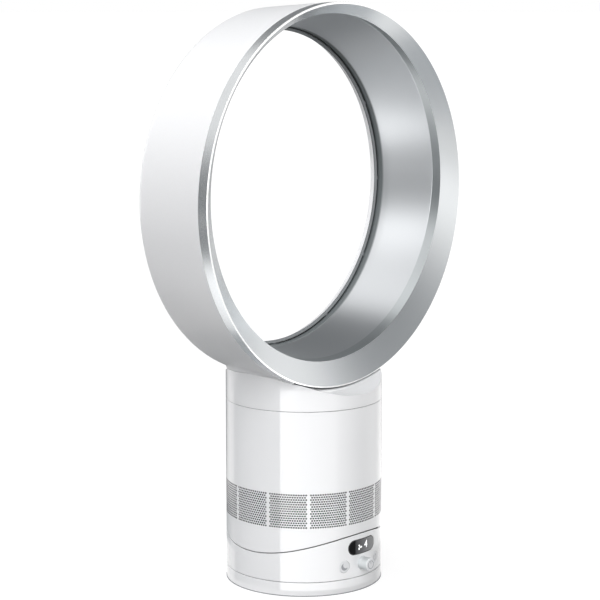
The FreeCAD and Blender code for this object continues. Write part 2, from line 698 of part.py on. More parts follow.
def make_loop_mount():
    """The bayonet ring on the body, its gasket, and the loop's collar and spigot."""
    bore = spigot_radius + 0.4
    groove = lug_radius + 0.4
    ring = tube(shell_radius, bore, mount_ring_low_z, mount_ring_top_z)
    spare = 0.5
    for index in range(lug_count):
        middle = index * 360.0 / lug_count
        low = middle - lug_half_angle - spare
        high = middle + lug_half_angle + unlock_angle + spare
        ring = ring.cut(sector(groove, bore - 1, lug_low_z - 0.3, lug_top_z + 0.3, low, high))
        ring = ring.cut(sector(groove, bore - 1, lug_low_z, mount_ring_top_z + 1,
                               middle + unlock_angle - lug_half_angle - spare, high))

    flange_low_z = 181.5
    flange_high_z = 184.0
    duct_radius = 36.0
    spigot = turned((spigot_radius - 2, 165.0), (spigot_radius, 165.0), (spigot_radius, flange_low_z),
                    (shell_radius, flange_low_z), (shell_radius, flange_high_z),
                    (spigot_radius, flange_high_z), (duct_radius, 190.5), (duct_radius, 206.0),
                    (duct_radius - 2, 206.0), (duct_radius - 2, 189.5), (spigot_radius - 2, 183.0))
    lugs = []
    for index in range(lug_count):
        middle = index * 360.0 / lug_count
        lugs.append(sector(lug_radius, spigot_radius - 1, lug_low_z, lug_top_z,
                           middle - lug_half_angle, middle + lug_half_angle))
    spigot = joined([spigot] + lugs)

    under_loop = 183.2
    shoulder = 185.5
    rear_land = 178.9
    far = base_radius + 1
    saddle = loop_turned(loop_z, (0, -far), (shoulder, -far), (under_loop, loop_front_y),
                         (under_loop, loop_rear_y), (rear_land, loop_rear_y), (rear_land, far), (0, far))
    below = loop_turned(loop_z, (0, -far), (shoulder + wall, -far), (under_loop + wall, loop_front_y),
                        (under_loop + wall, loop_rear_y), (shoulder + wall, far), (0, far))
    collar_low_z = collar_seam_z + seam_gap / 2
    hollow = disc(shell_radius, collar_low_z, 225.0).cut(below)
    boss_spots = [radial(angle, 65.0, 0) for angle in (45, 135, 225, 315)]
    bosses = [disc(4.0, flange_high_z, 225.0, spot.x, spot.y) for spot in boss_spots]
    collar = disc(base_radius, collar_low_z, 225.0).cut(hollow)
    collar = joined([collar] + bosses).cut(saddle)
    collar = collar.cut(disc(duct_radius, 185.0, 210.0))
    screws = []
    for spot in boss_spots:
        screws.append(screw(3.0, 1.5, flange_low_z - 1.5, flange_low_z, 191.0, spot.x, spot.y))
        shank = disc(1.5, flange_low_z, 191.0, spot.x, spot.y)
        spigot = spigot.cut(shank)
        collar = collar.cut(shank)

    nodes["bayonet_ring"] = ring
    nodes["neck_gasket"] = tube(71.5, 66.0, mount_ring_top_z, mount_ring_top_z + 0.7)
    nodes["loop_collar"] = collar
    nodes["loop_spigot"] = spigot
    nodes["collar_screws"] = group(screws)
    return saddle, duct_radius


def make_loop(saddle, duct_radius):
    """The air loop: outer casing, rear lip, inner casing, front trim and what lies between."""
    diagonal = math.sqrt(0.5)
    round_r = casing_rear_radius - rear_round
    round_y = loop_rear_y - rear_round
    outside = loop_turned(loop_z, (0, trim_joint_y), (casing_front_radius, trim_joint_y),
                          (casing_rear_radius, round_y),
                          ((round_r + rear_round * diagonal, round_y + rear_round * diagonal),
                           (round_r, loop_rear_y)), (0, loop_rear_y))
    inner_round = rear_round - loop_wall
    plenum_rear_y = loop_rear_y - loop_rear_wall
    plenum_y = plenum_rear_y - inner_round
    plenum = loop_turned(loop_z, (0, trim_joint_y - 1), (casing_front_radius - loop_wall, trim_joint_y - 1),
                         (round_r + inner_round, plenum_y),
                         ((round_r + inner_round * diagonal, plenum_y + inner_round * diagonal),
                          (round_r, plenum_rear_y)), (0, plenum_rear_y))
    rim_round = 4.0
    rim_r = 153.4
    rim_y = loop_rear_y - rim_round
    flange_reach = 3.0
    flange_y = plenum_rear_y - 1.0
    lip_tip = (lip_radius + lip_thickness, lip_y - 1.0)
    lip_root = (156.45, flange_y)
    lip = loop_turned(throat_z, (rim_r + rim_round, loop_rear_y),
                      ((rim_r + rim_round * (1 - diagonal), rim_y + rim_round * diagonal),
                       (rim_r, rim_y)),
                      (lip_radius, lip_y), lip_tip, lip_root,
                      (lip_joint_radius + flange_reach, flange_y),
                      (lip_joint_radius + flange_reach, plenum_rear_y),
                      (lip_joint_radius, plenum_rear_y), (lip_joint_radius, loop_rear_y))
    hole = loop_turned(throat_z, (0, -60), (lip_joint_radius, -60), (lip_joint_radius, 60), (0, 60))
    neck_front_y = -37.0
    neck_rear_y = loop_rear_y - 0.1
    neck = disc(base_radius - 0.4, 185.0, 225.0)
    neck = neck.common(box(-base_radius, base_radius, neck_front_y, neck_rear_y, 185, 225))
    neck = neck.common(saddle).cut(outside)
    casing = outside.cut(plenum).cut(hole)
    casing = joined([casing, neck])
    casing = casing.cut(disc(duct_radius, 185.0, 215.0))

    inner_line = [(flare_inner["radius"], flare_inner["z"], flare_inner["y"]),
                  (guide_end["radius"], guide_end["z"], guide_end["y"]),
                  (156.2, 382.2, 20.0), (154.7, throat_z, 30.5), (154.5, throat_z, 33.5),
                  (155.2, throat_z, 36.4), (156.9, throat_z, 41.1)]
    outer_line = [(166.7, flare_inner["z"], flare_inner["y"]),
                  (166.8, guide_end["z"], guide_end["y"]),
                  (158.6, 382.2, 20.0), (157.4, throat_z, 30.5), (157.6, throat_z, 36.4),
                  (159.4, throat_z, 41.1)]
    backing = loop_loft(outer_line)
    inner_casing = backing.cut(loop_loft(inner_line))

    splitter = Part.Face(Part.makePolygon([V(-14, -28, 228), V(0, -28, 203), V(14, -28, 228),
                                           V(-14, -28, 228)])).extrude(V(0, 60, 0))
    splitter = splitter.cut(backing)

    slope = (flare_outer["radius"] - flare_inner["radius"]) / (flare_inner["y"] - flare_outer["y"])
    drift = (flare_inner["z"] - flare_outer["z"]) / (flare_inner["y"] - flare_outer["y"])
    reach = 4.0
    flare_line = [(flare_outer["radius"] + slope * reach, flare_outer["z"] - drift * reach,
                   flare_outer["y"] - reach),
                  (flare_inner["radius"] - slope * reach, flare_inner["z"] + drift * reach,
                   flare_inner["y"] + reach)]
    flare = loop_loft(flare_line)
    flare_back = flare.copy()
    flare_back.translate(V(0, 2.4, 0))
    rim = 1.4
    joint_radius = trim_front_radius - 0.4 - loop_wall
    band = loop_turned(loop_z, (0, flare_inner["y"]), (joint_radius, flare_inner["y"]),
                       (casing_front_radius - loop_wall, trim_joint_y), (casing_front_radius, trim_joint_y),
                       (trim_front_radius, loop_front_y + rim),
                       ((trim_front_radius - rim * (1 - diagonal), loop_front_y + rim * (1 - diagonal)),
                        (trim_front_radius - rim, loop_front_y)), (0, loop_front_y))
    pocket_y = flare_inner["y"] + 1
    pocket = loop_turned(loop_z, (0, loop_front_y + loop_wall),
                         (trim_front_radius - loop_wall, loop_front_y + loop_wall),
                         (trim_front_radius - loop_wall - 0.2, pocket_y), (0, pocket_y))
    trim = band.cut(pocket.cut(flare_back)).cut(flare)

    spacer = loop_turned(throat_z, (154.35, 37.6), (155.42, 37.2), (156.8, 41.0), (155.75, 41.4),
                         angle=1.2)
    spacers = around(spacer, 12, 0.0, V(0, 0, throat_z), Y_DIR)

    nodes["loop_outer_casing"] = casing
    nodes["loop_rear_lip"] = lip
    nodes["loop_inner_casing"] = inner_casing
    nodes["loop_front_trim"] = trim
    nodes["trim_gasket"] = loop_turned(loop_z, (176.8, trim_joint_y + 0.7), (179.0, trim_joint_y + 0.7),
                                       (178.9, trim_joint_y + 1.7), (176.8, trim_joint_y + 1.7))
    nodes["slot_spacers"] = group(spacers)
    nodes["air_splitter"] = splitter


def export_nodes():
    """Check every node and write it to its own file."""
    os.makedirs("parts", exist_ok=True)
    for name, shape in nodes.items():
        solids = shape.Solids
        state = "ok" if shape.isValid() and solids else "BROKEN"
        print(name, state, len(solids), "solids", round(shape.Volume / 1000.0, 2), "cm3")
        shape.exportStep("parts/" + name + ".step")


make_foot()
make_upper_base()
make_pinion()
make_display()
make_controls()
make_body()
make_drive_board()
make_airway()
make_motor()
make_impeller()
loop_saddle, loop_duct_radius = make_loop_mount()
make_loop(loop_saddle, loop_duct_radius)
export_nodes()
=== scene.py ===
"""Bladeless desk fan: a silver air loop on a white drum that tilts and turns."""

import math

import bmesh
import bpy
from mathutils import Matrix, Vector


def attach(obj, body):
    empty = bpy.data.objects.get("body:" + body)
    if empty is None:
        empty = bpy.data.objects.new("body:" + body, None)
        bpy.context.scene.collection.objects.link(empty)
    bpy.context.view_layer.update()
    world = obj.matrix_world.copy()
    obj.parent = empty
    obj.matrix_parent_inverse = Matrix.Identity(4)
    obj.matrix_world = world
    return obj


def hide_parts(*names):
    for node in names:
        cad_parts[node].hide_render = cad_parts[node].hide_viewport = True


bl_info = {
    "name": "Bladeless Desk Fan",
    "version": (1, 0, 0),
    "blender": (4, 5, 0),
    "location": "View3D > Sidebar > Desk Fan",
    "description": "Builds a bladeless desk fan around its packed parts, with finishes and a studio",
    "category": "Object",
}

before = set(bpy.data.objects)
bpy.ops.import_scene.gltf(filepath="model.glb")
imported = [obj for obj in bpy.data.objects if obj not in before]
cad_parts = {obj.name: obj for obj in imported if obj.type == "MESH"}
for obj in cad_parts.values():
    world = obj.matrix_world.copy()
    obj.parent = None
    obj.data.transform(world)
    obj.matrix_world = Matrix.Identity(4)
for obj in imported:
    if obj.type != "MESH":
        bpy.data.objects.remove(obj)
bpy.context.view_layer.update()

MM = 0.001
FULL_TURN = 2 * math.pi
QUARTER_TURN = math.pi / 2
UPRIGHT = Matrix.Rotation(QUARTER_TURN, 4, "X")
FACES_ACROSS_LOOP = 288
FACES_ROUND_DRUM = 360
STADIUM_FACES = 120
SAME_SPOT = 0.001 * MM
SAME_BRICK_SPOT = 0.02 * MM
MARK_THICKNESS = 0.12 * MM
# A rounded edge, in shares of its radius: how far in from the wall, and how far along the wall
ROUNDED_EDGE = ((1.0, 0.0), (0.3, 0.3), (0.0, 1.0))
# The camera's side in degrees round from X, and the share of a card's half width that fades out
CAMERA_SIDE = -138.1
CARD_FADE = 0.6
CARD_STEPS = 24
STUDIO_MIDDLE = Vector((0, 0, 0.3))
STUDIO_RADIUS = 2.3

Vert, Edge = bmesh.types.BMVert, bmesh.types.BMEdge
finishes = {}


# Sizes and colours


def size(name, description, value, **limits):
    """A length that a user can change, from millimetres."""
    return bpy.props.FloatProperty(name=name, description=description, default=value * MM, soft_max=1.0,
                                   precision=5, unit="LENGTH", **(limits or {"min": 0.0}))


def place(name, description, value):
    """A coordinate that a user can change, from millimetres."""
    return size(name, description, value, soft_min=-1.0)


def angle(name, description, value):
    """An angle that a user can change, from degrees."""
    return bpy.props.FloatProperty(name=name, description=description, default=math.radians(value),
                                   subtype="ANGLE")


def amount(name, description, value, least=0.0):
    """A plain number that a user can change."""
    return bpy.props.FloatProperty(name=name, description=description, default=value, min=least)


def count(name, description, value, least=1):
    """A whole number that a user can change."""
    return bpy.props.IntProperty(name=name, description=description, default=value, min=least)


def colour(name, description, value):
    """A colour that a user can change."""
    return bpy.props.FloatVectorProperty(name=name, description=description, default=value, size=3,
                                         min=0.0, max=1.0, subtype="COLOR")


class LoopShape(bpy.types.PropertyGroup):
    """The air loop: circles about lines along Y."""

    axis_height: place("Axis height", "Height of the outer circles' centre", 377.5)
    throat_height: place("Throat height", "Height of the slot's centre", 381.5)
    front: place("Front", "Where the front rim stands", -49.4)
    joint: place("Trim joint", "Where the front trim meets the outer casing", -38.0)
    rear: place("Rear", "Where the loop ends at the back", 47.1)
    front_radius: size("Front radius", "Radius of the front rim", 181.74)
    casing_radius: size("Casing radius", "Radius of the outer casing at the trim", 181.4)
    rear_radius: size("Rear radius", "Radius of the outer casing where its rear round starts", 177.0)
    rear_round: size("Rear round", "Radius of the rounded rear edge", 10.0)
    rim_round: size("Rim round", "Radius of the front rim's outer edge", 0.4)
    flare_radius: size("Flare radius", "Outer radius of the front flare", 180.1)
    flare_depth: place("Flare depth", "Where the flare meets the guide band", -37.3)
    guide_radius: size("Guide radius", "Radius of the guide band at the flare", 164.5)
    lip_radius: size("Lip radius", "Radius of the rear lip's front edge", 151.2)
    lip_edge: place("Lip edge", "Where the rear lip's front edge stands", 37.8)
    lip_joint: size("Lip joint", "Radius at which the lip meets the casing", 160.0)


class DrumShape(bpy.types.PropertyGroup):
    """The drum: foot, upper base, fan body and collar."""

    radius: size("Radius", "Outer radius of the drum", 76.0)
    wall: size("Wall", "Thickness of the drum's walls", 2.5)
    seam: size("Seam", "Gap at the turning seam", 0.6)
    collar_gap: size("Collar gap", "Gap of the seam under the collar", 0.32)
    tilt_gap: size("Tilt gap", "Gap of the curved tilt seam", 0.85)
    turn_seam: place("Turning seam", "Height of the seam above the foot", 13.75)
    collar_seam: place("Collar seam", "Height of the seam under the collar", 179.1)
    tilt_axis: place("Tilt axis", "Height of the line that the body tilts about", 218.3)
    tilt_radius: size("Tilt radius", "Radius of the tilt seam about that line", 178.8)
    edge_round: size("Edge round", "Rounding of the drum's edges", 0.45)
    shoulder: size("Shoulder", "Distance from the loop's axis to the collar's shoulder", 185.5)
    saddle: size("Saddle", "Distance from the loop's axis to the collar under the loop", 182.7)
    rear_shoulder: size("Rear shoulder", "Distance from the loop's axis to the collar behind it", 178.9)


class InletPattern(bpy.types.PropertyGroup):
    """The holes round the fan body."""

    panels: count("Panels", "Panels of holes round the drum", 12)
    holes_across: count("Holes across", "Holes in a panel's longer rows", 16, 2)
    rows: count("Rows", "Rows of holes in a panel", 15)
    row_pitch: size("Row pitch", "Distance between rows", 2.257)
    hole_pitch: angle("Hole pitch", "Angle between holes in a row", 1.775)
    hole_radius: size("Hole radius", "Radius of a hole", 0.92)
    middle: place("Middle", "Height of the middle row", 83.4)
    turn: angle("Turn", "Angle of the first panel from the front", 0.36)
    screen_wall: size("Screen wall", "Thickness of the perforated wall", 1.2)


class ControlShape(bpy.types.PropertyGroup):
    """The display, buttons and knob on the upper base."""

    display_height: place("Display height", "Height of the display's middle", 43.3)
    display_middle: place("Display middle", "Where the display's middle stands", 0.4)
    display_half_width: size("Display half width", "Half the display's width", 19.1)
    display_tall: size("Display size", "Height of the display window", 15.0)
    controls_height: place("Controls height", "Height of the buttons and the knob", 26.4)
    button_angle: angle("Button angle", "Angle from the front to a button", 17.2)
    button_radius: size("Button radius", "Radius of a button", 6.0)
    knob_radius: size("Knob radius", "Radius of the knob", 6.3)
    knob_face: place("Knob face", "Where the knob's face stands", -86.45)


class FanFinish(bpy.types.PropertyGroup):
    """The fan's colours."""

    casing_silver: colour("Casing silver", "Paint on the outer casing", (0.84, 0.845, 0.86))
    trim_silver: colour("Trim silver", "Metallic finish on the front trim", (0.60, 0.615, 0.625))
    guide_silver: colour("Guide silver", "Paint on the diffuser inside the loop", (0.57, 0.585, 0.60))
    # Painted shade: a dark grey that stands for the shade inside the air slot
    slot_painted_shade: colour("Slot grey", "Dark grey inside the air slot", (0.12, 0.135, 0.14))
    drum_white: colour("Drum white", "Glossy plastic of the drum", (0.86, 0.865, 0.88))
    key_white: colour("Key white", "Plastic of the buttons and knob", (0.80, 0.81, 0.83))
    # Painted shade: a darker grey on the white knob's side that stands for the shade and dark reflection
    # there
    knob_side_painted_shade: colour("Knob silver", "Paint on the knob's side", (0.62, 0.65, 0.66))
    mark_grey: colour("Mark grey", "Printed marks on the buttons and knob", (0.33, 0.34, 0.36))
    window_dark: colour("Window dark", "Dark end and border of the display window", (0.003, 0.003, 0.004))
    window_smoke: colour("Window smoke", "Smoked middle of the display window", (0.075, 0.075, 0.08))
    window_light: colour("Window light", "Paler end of the display window", (0.42, 0.42, 0.43))
    lamp_white: colour("Lamp white", "Lit figures on the display", (1.0, 1.0, 1.0))


class StudioSetup(bpy.types.PropertyGroup):
    """Camera, lights and floor."""

    lens: amount("Lens", "Focal length on a 36 mm sensor, in millimetres", 114.17, 1.0)
    camera_height: place("Camera height", "Height of the camera", 555.3)
    camera_distance: size("Camera distance", "Level distance from the drum's axis to the camera", 1819.8)
    camera_bearing: angle("Camera bearing", "Where the camera stands, round the fan", -48.051)
    camera_heading: angle("Camera heading", "Which way the camera looks", -47.934)
    camera_pitch: angle("Camera pitch", "How far down the camera looks", 8.791)
    floor_colour: colour("Floor colour", "Pale floor", (0.25, 0.25, 0.25))
    floor_lift: amount("Floor lift", "How much paler the floor is seen", 0.82)
    ambient: amount("Ambient", "Strength of the light from all round", 0.0)
    key_strength: amount("Key strength", "Strength of the light from the front", 1.95)
    top_strength: amount("Top strength", "Strength of the light from above", 1.59)
    left_strength: amount("Left strength", "Strength of the light from the left", 1.12)
    right_strength: amount("Right strength", "Strength of the light from the right", 0.42)


# Small steps in mesh making


def metres(*rows):
    """Rows of millimetres as rows of metres."""
    return [tuple(value * MM for value in row) for row in rows]


def only(made, kind, key="geom"):
    """The vertices or the edges among what a mesh step made."""
    return [item for item in made[key] if isinstance(item, kind)]


def outward(bm):
    """Turns every face outward."""
    bmesh.ops.recalc_face_normals(bm, faces=bm.faces[:])


def weld(bm, distance, verts=None):
    """Joins vertices that stand in the same spot."""
    bmesh.ops.remove_doubles(bm, verts=verts or bm.verts[:], dist=distance)


def shift(bm, x, y, z, verts=None):
    """Moves vertices, or all of a shape."""
    bmesh.ops.translate(bm, verts=verts or bm.verts[:], vec=Vector((x, y, z)))


def rotate(bm, turn, axis, verts=None):
    """Turns vertices, or all of a shape, about an axis through the origin."""
    bmesh.ops.rotate(bm, verts=verts or bm.verts[:], matrix=Matrix.Rotation(turn, 3, axis))


def edges_of(verts):
    """The edges that join vertices of a set."""
    inside = set(verts)
    return list({edge for vert in inside for edge in vert.link_edges if edge.other_vert(vert) in inside})


def rings(stations, place_vert, segments, closed=True):
    """A new shape of circles moved to their stations, the last joined to the first if closed."""
    bm = bmesh.new()
    verts = bmesh.ops.create_circle(bm, segments=segments, radius=1.0)["verts"]
    levels, edges = [verts], edges_of(verts)
    for _ in range(len(stations) - (not closed)):
        made = bmesh.ops.extrude_edge_only(bm, edges=edges)
        levels.append(only(made, Vert))
        edges = only(made, Edge)
    for verts, station in zip(levels, stations + stations[:1]):
        for vert in verts:
            vert.co = place_vert(vert.co, station)
    if closed:
        weld(bm, SAME_SPOT, levels[0] + levels[-1])
    outward(bm)
    return bm


def loop_spot(unit, station):
    """A point of a circle across Y, from (radius, height of the centre, y)."""
    radius, height, y = station
    return Vector((radius * unit.x, y, height + radius * unit.y))


def facing_spot(unit, station):
    """A point of a circle across Y about the origin, from (radius, y)."""
    radius, y = station
    return Vector((radius * unit.x, y, radius * unit.y))


def drum_spot(unit, station):
    """A point of a level circle, from (radius, height)."""
    radius, height = station
    return Vector((radius * unit.x, radius * unit.y, height))


def quarter(radius, centre_radius, centre_y, start, end, steps):
    """Points of a rounded edge, from one angle to another, as (radius, y)."""
    turns = [math.radians(start + (end - start) * step / steps) for step in range(steps + 1)]
    return [(centre_radius + radius * math.cos(turn), centre_y + radius * math.sin(turn)) for turn in turns]


def rod(radius, tall, matrix, segments=64):
    """A new rod that stands along Z before it is placed."""
    bm = bmesh.new()
    bmesh.ops.create_cone(bm, cap_ends=True, segments=segments, radius1=radius, radius2=radius, depth=tall,
                          matrix=matrix)
    return bm


def block(bm, middle, sides):
    """A block in a shape, by its middle and its sides in millimetres."""
    middle, sides = metres(middle, sides)
    matrix = Matrix.Translation(middle) @ Matrix.Diagonal((*sides, 1))
    bmesh.ops.create_cube(bm, size=1.0, matrix=matrix)
    return bm


def plate(bm, outline, thickness=MARK_THICKNESS):
    """A flat plate behind an outline in the XZ plane."""
    face = bmesh.ops.contextual_create(bm, geom=outline)["faces"][0]
    made = bmesh.ops.extrude_face_region(bm, geom=[face])
    for vert in only(made, Vert):
        vert.co.y += thickness


def facing_band(inner, outer, segments=64):
    """A new flat ring that faces the front, from millimetres."""
    back = MARK_THICKNESS / MM
    stations = metres((inner, 0.0), (outer, 0.0), (outer, back), (inner, back))
    return rings(stations, facing_spot, segments)


def fill_ends(bm):
    """Closes the open ends of a shape."""
    bmesh.ops.holes_fill(bm, edges=[edge for edge in bm.edges if edge.is_boundary], sides=0)


def second_finish(bm, test):
    """Gives the second finish to the faces that pass a test."""
    for face in bm.faces:
        if test(face):
            face.material_index = 1


def onto_drum(bm, radius):
    """Bends a flat front-facing shape onto the drum; its own depth is kept as height above the wall."""
    for vert in bm.verts:
        lift = -vert.co.y
        turn = math.asin(max(-1.0, min(1.0, vert.co.x / radius)))
        vert.co.x += lift * math.sin(turn)
        vert.co.y = -(radius + lift) * math.cos(turn)


# Objects


def linked(name, data):
    """A new object in the scene."""
    made = bpy.data.objects.new(name, data)
    bpy.context.scene.collection.objects.link(made)
    return made


def loose_object(name, bm):
    """An object made from a shape, which is used up."""
    mesh = bpy.data.meshes.new(name)
    bm.to_mesh(mesh)
    bm.free()
    return linked(name, mesh)


def final_mesh(source):
    """An object's mesh as its modifiers leave it; the object itself is removed."""
    bpy.context.view_layer.update()
    mesh = bpy.data.meshes.new_from_object(source.evaluated_get(bpy.context.evaluated_depsgraph_get()))
    bpy.data.objects.remove(source)
    return mesh


def baked(source):
    """A new shape from an object, which is used up."""
    mesh = final_mesh(source)
    bm = bmesh.new()
    bm.from_mesh(mesh)
    bpy.data.meshes.remove(mesh)
    return bm


def carve(bm, *tools):
    """A shape with other shapes taken out of it."""
    target = loose_object("carved", bm)
    cutters = [loose_object("tool", tool) for tool in tools]
    for cutter in cutters:
        cut = target.modifiers.new("cut", "BOOLEAN")
        cut.operation = "DIFFERENCE"
        cut.solver = "EXACT"
        cut.object = cutter
    result = baked(target)
    for cutter in cutters:
        bpy.data.objects.remove(cutter)
    return result


def piece(bm, name, body, paints, nodes=(), limit=28.0):
    """A finished piece: its mesh at the origin, its finishes, its body and the nodes it stands for.

    Edges that turn by more than the limit in degrees stay sharp, and large faces lead the shading.
    """
    for face in bm.faces:
        face.smooth = True
    for edge in bm.edges:
        edge.smooth = edge.calc_face_angle(0.0) < math.radians(limit)
    shaded = loose_object(name + " shaded", bm)
    shaded.modifiers.new("even shading", "WEIGHTED_NORMAL").keep_sharp = True
    mesh = final_mesh(shaded)
    mesh.name = name
    for paint in paints:
        mesh.materials.append(finishes[paint])
    made = linked(name, mesh)
    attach(made, body)
    if nodes:
        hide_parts(*nodes)


# Finishes


def add(tree, kind, values=None, **settings):
    """Adds a node, links or sets its inputs, and gives its outputs."""
    node = tree.nodes.new("ShaderNode" + kind)
    for key, value in settings.items():
        setattr(node, key, value)
    for key, value in (values or {}).items():
        if isinstance(value, bpy.types.NodeSocket):
            tree.links.new(value, node.inputs[key])
        else:
            node.inputs[key].default_value = value
    return node.outputs


def calc(tree, operation, *terms):
    """The result of a sum with sockets and numbers."""
    return add(tree, "Math", dict(enumerate(terms)), operation=operation)[0]


def new_group(name):
    """A shader group from a colour, a roughness and two measures of unevenness; also gives its inputs."""
    group = bpy.data.node_groups.new(name, "ShaderNodeTree")
    for label, kind, way in (("Colour", "Color", "INPUT"), ("Roughness", "Float", "INPUT"),
                             ("Unevenness", "Float", "INPUT"), ("Grain Size", "Float", "INPUT"),
                             ("Colour", "Color", "OUTPUT"), ("Roughness", "Float", "OUTPUT"),
                             ("Height", "Float", "OUTPUT")):
        group.interface.new_socket(name=label, in_out=way, socket_type="NodeSocket" + kind)
    return group, group.nodes.new("NodeGroupInput").outputs, add(group, "TexCoord")["Object"]


def end_group(group, given, pattern, roughness, height):
    """Ends a shader group: the colour made uneven by a pattern from 0 to 1, a roughness and a height."""
    level = calc(group, "MULTIPLY_ADD", calc(group, "SUBTRACT", pattern, 0.5), given["Unevenness"], 1.0)
    tint = add(group, "VectorMath", {0: given["Colour"], "Scale": level}, operation="SCALE")[0]
    for result, output in zip((tint, roughness, height), group.nodes.new("NodeGroupOutput").inputs):
        group.links.new(result, output)
    return group


def flake_group():
    """Fine metallic flake and slight unevenness of sprayed paint."""
    group, given, spot = new_group("Sprayed Flake")
    flake = add(group, "TexVoronoi", {"Vector": spot, "Scale": given["Grain Size"]}, feature="F1")
    split = add(group, "SeparateColor", {"Color": flake["Color"]})
    cloud = add(group, "TexNoise", {"Vector": spot, "Scale": 22.0, "Detail": 3.0})["Fac"]
    cloudy = add(group, "MapRange", {"Value": cloud, "To Min": -0.008, "To Max": 0.008})[0]
    rough = calc(group, "ADD", given["Roughness"], cloudy)
    return end_group(group, given, split["Red"], rough, split["Green"])


def moulding_group():
    """Slight unevenness of moulded plastic: cloudy colour, smears in the gloss and a faint ripple."""
    group, given, spot = new_group("Moulded Plastic")
    cloud = add(group, "TexNoise", {"Vector": spot, "Scale": 14.0, "Detail": 4.0, "Roughness": 0.55})["Fac"]
    grain = add(group, "TexNoise", {"Vector": spot, "Scale": given["Grain Size"], "Detail": 2.0})["Fac"]
    rough = calc(group, "MULTIPLY_ADD", calc(group, "SUBTRACT", cloud, 0.5), 0.03, given["Roughness"])
    return end_group(group, given, cloud, rough, grain)


def new_finish(name):
    """An empty material, kept under its name; gives its node tree."""
    material = bpy.data.materials.new(name)
    material.use_nodes = True
    material.node_tree.nodes.clear()
    finishes[name] = material
    return material.node_tree


def shade(tree, values):
    """Ends a tree in one Principled shader."""
    add(tree, "OutputMaterial", {"Surface": add(tree, "BsdfPrincipled", values)[0]})


def finish(name, group, tint, roughness, unevenness, grain, bump=0.0, relief=0.02, throat=None, **values):
    """A finish fed by one of the shader groups.

    relief is the bump's height in millimetres, and throat the dark grey of painted shade that the paint ends
    in where the casing turns into the air slot, standing for the shade inside the slot. Other values go to
    the shader, with _ for a space.
    """
    tree = new_finish(name)
    effect = add(tree, "Group", {"Colour": (*tint, 1.0), "Roughness": roughness, "Unevenness": unevenness,
                                 "Grain Size": grain}, node_tree=group)
    values = {key.replace("_", " "): value for key, value in values.items()}
    values["Base Color"] = effect["Colour"]
    values["Roughness"] = effect["Roughness"]
    if bump:
        values["Normal"] = add(tree, "Bump", {"Strength": bump, "Distance": relief * MM,
                                              "Height": effect["Height"]})[0]
    # Painted shade: from 28 to 31 mm back the paint turns into the slot's dark grey and stops being
    # metallic, standing for the shade in the air slot
    if throat is not None:
        y = add(tree, "SeparateXYZ", {0: add(tree, "TexCoord")["Object"]})["Y"]
        depth = add(tree, "MapRange", {"Value": y, "From Min": 28.0 * MM, "From Max": 31.0 * MM},
                    interpolation_type="SMOOTHSTEP")[0]
        values["Base Color"] = add(tree, "Mix", {0: depth, 6: effect["Colour"], 7: (*throat, 1.0)},
                                   data_type="RGBA")[2]
        values["Metallic"] = calc(tree, "SUBTRACT", 1.0, depth)
    shade(tree, values)


def window_finish(colours):
    """The smoked window: black at its left end and paler towards the right."""
    tree = new_finish("smoked window")
    spot = add(tree, "TexCoord")["Object"]
    x = add(tree, "SeparateXYZ", {0: spot})["X"]
    along = add(tree, "MapRange", {"Value": x, "From Min": -20.0 * MM, "From Max": 20.0 * MM})[0]
    ramp = tree.nodes.new("ShaderNodeValToRGB")
    ends = ((0.24, colours.window_dark), (0.86, colours.window_light))
    for element, (position, tint) in zip(ramp.color_ramp.elements, ends):
        element.position = position
        element.color = (*tint, 1.0)
    ramp.color_ramp.elements.new(0.275).color = (*colours.window_smoke, 1.0)
    tree.links.new(along, ramp.inputs["Fac"])
    smudge = add(tree, "TexNoise", {"Vector": spot, "Scale": 120.0, "Detail": 2.0})
    rough = add(tree, "MapRange", {"Value": smudge["Fac"], "To Min": 0.08, "To Max": 0.16})
    shade(tree, {"Base Color": ramp.outputs["Color"], "Roughness": rough[0], "Specular IOR Level": 0.04})


def lamp_finish(colours):
    """Lit figures of the display."""
    tree = new_finish("lit figures")
    glow = add(tree, "TexNoise", {"Vector": add(tree, "TexCoord")["Object"], "Scale": 700.0, "Detail": 1.0})
    level = add(tree, "MapRange", {"Value": glow["Fac"], "To Min": 0.88, "To Max": 1.0})
    tint = add(tree, "VectorMath", {0: tuple(colours.lamp_white), "Scale": level[0]}, operation="SCALE")[0]
    shade(tree, {"Base Color": tint, "Roughness": 0.4, "Emission Color": tint, "Emission Strength": 1.0})


class FanOperator:
    """What the fan's operators share."""

    bl_options = {"REGISTER", "UNDO"}


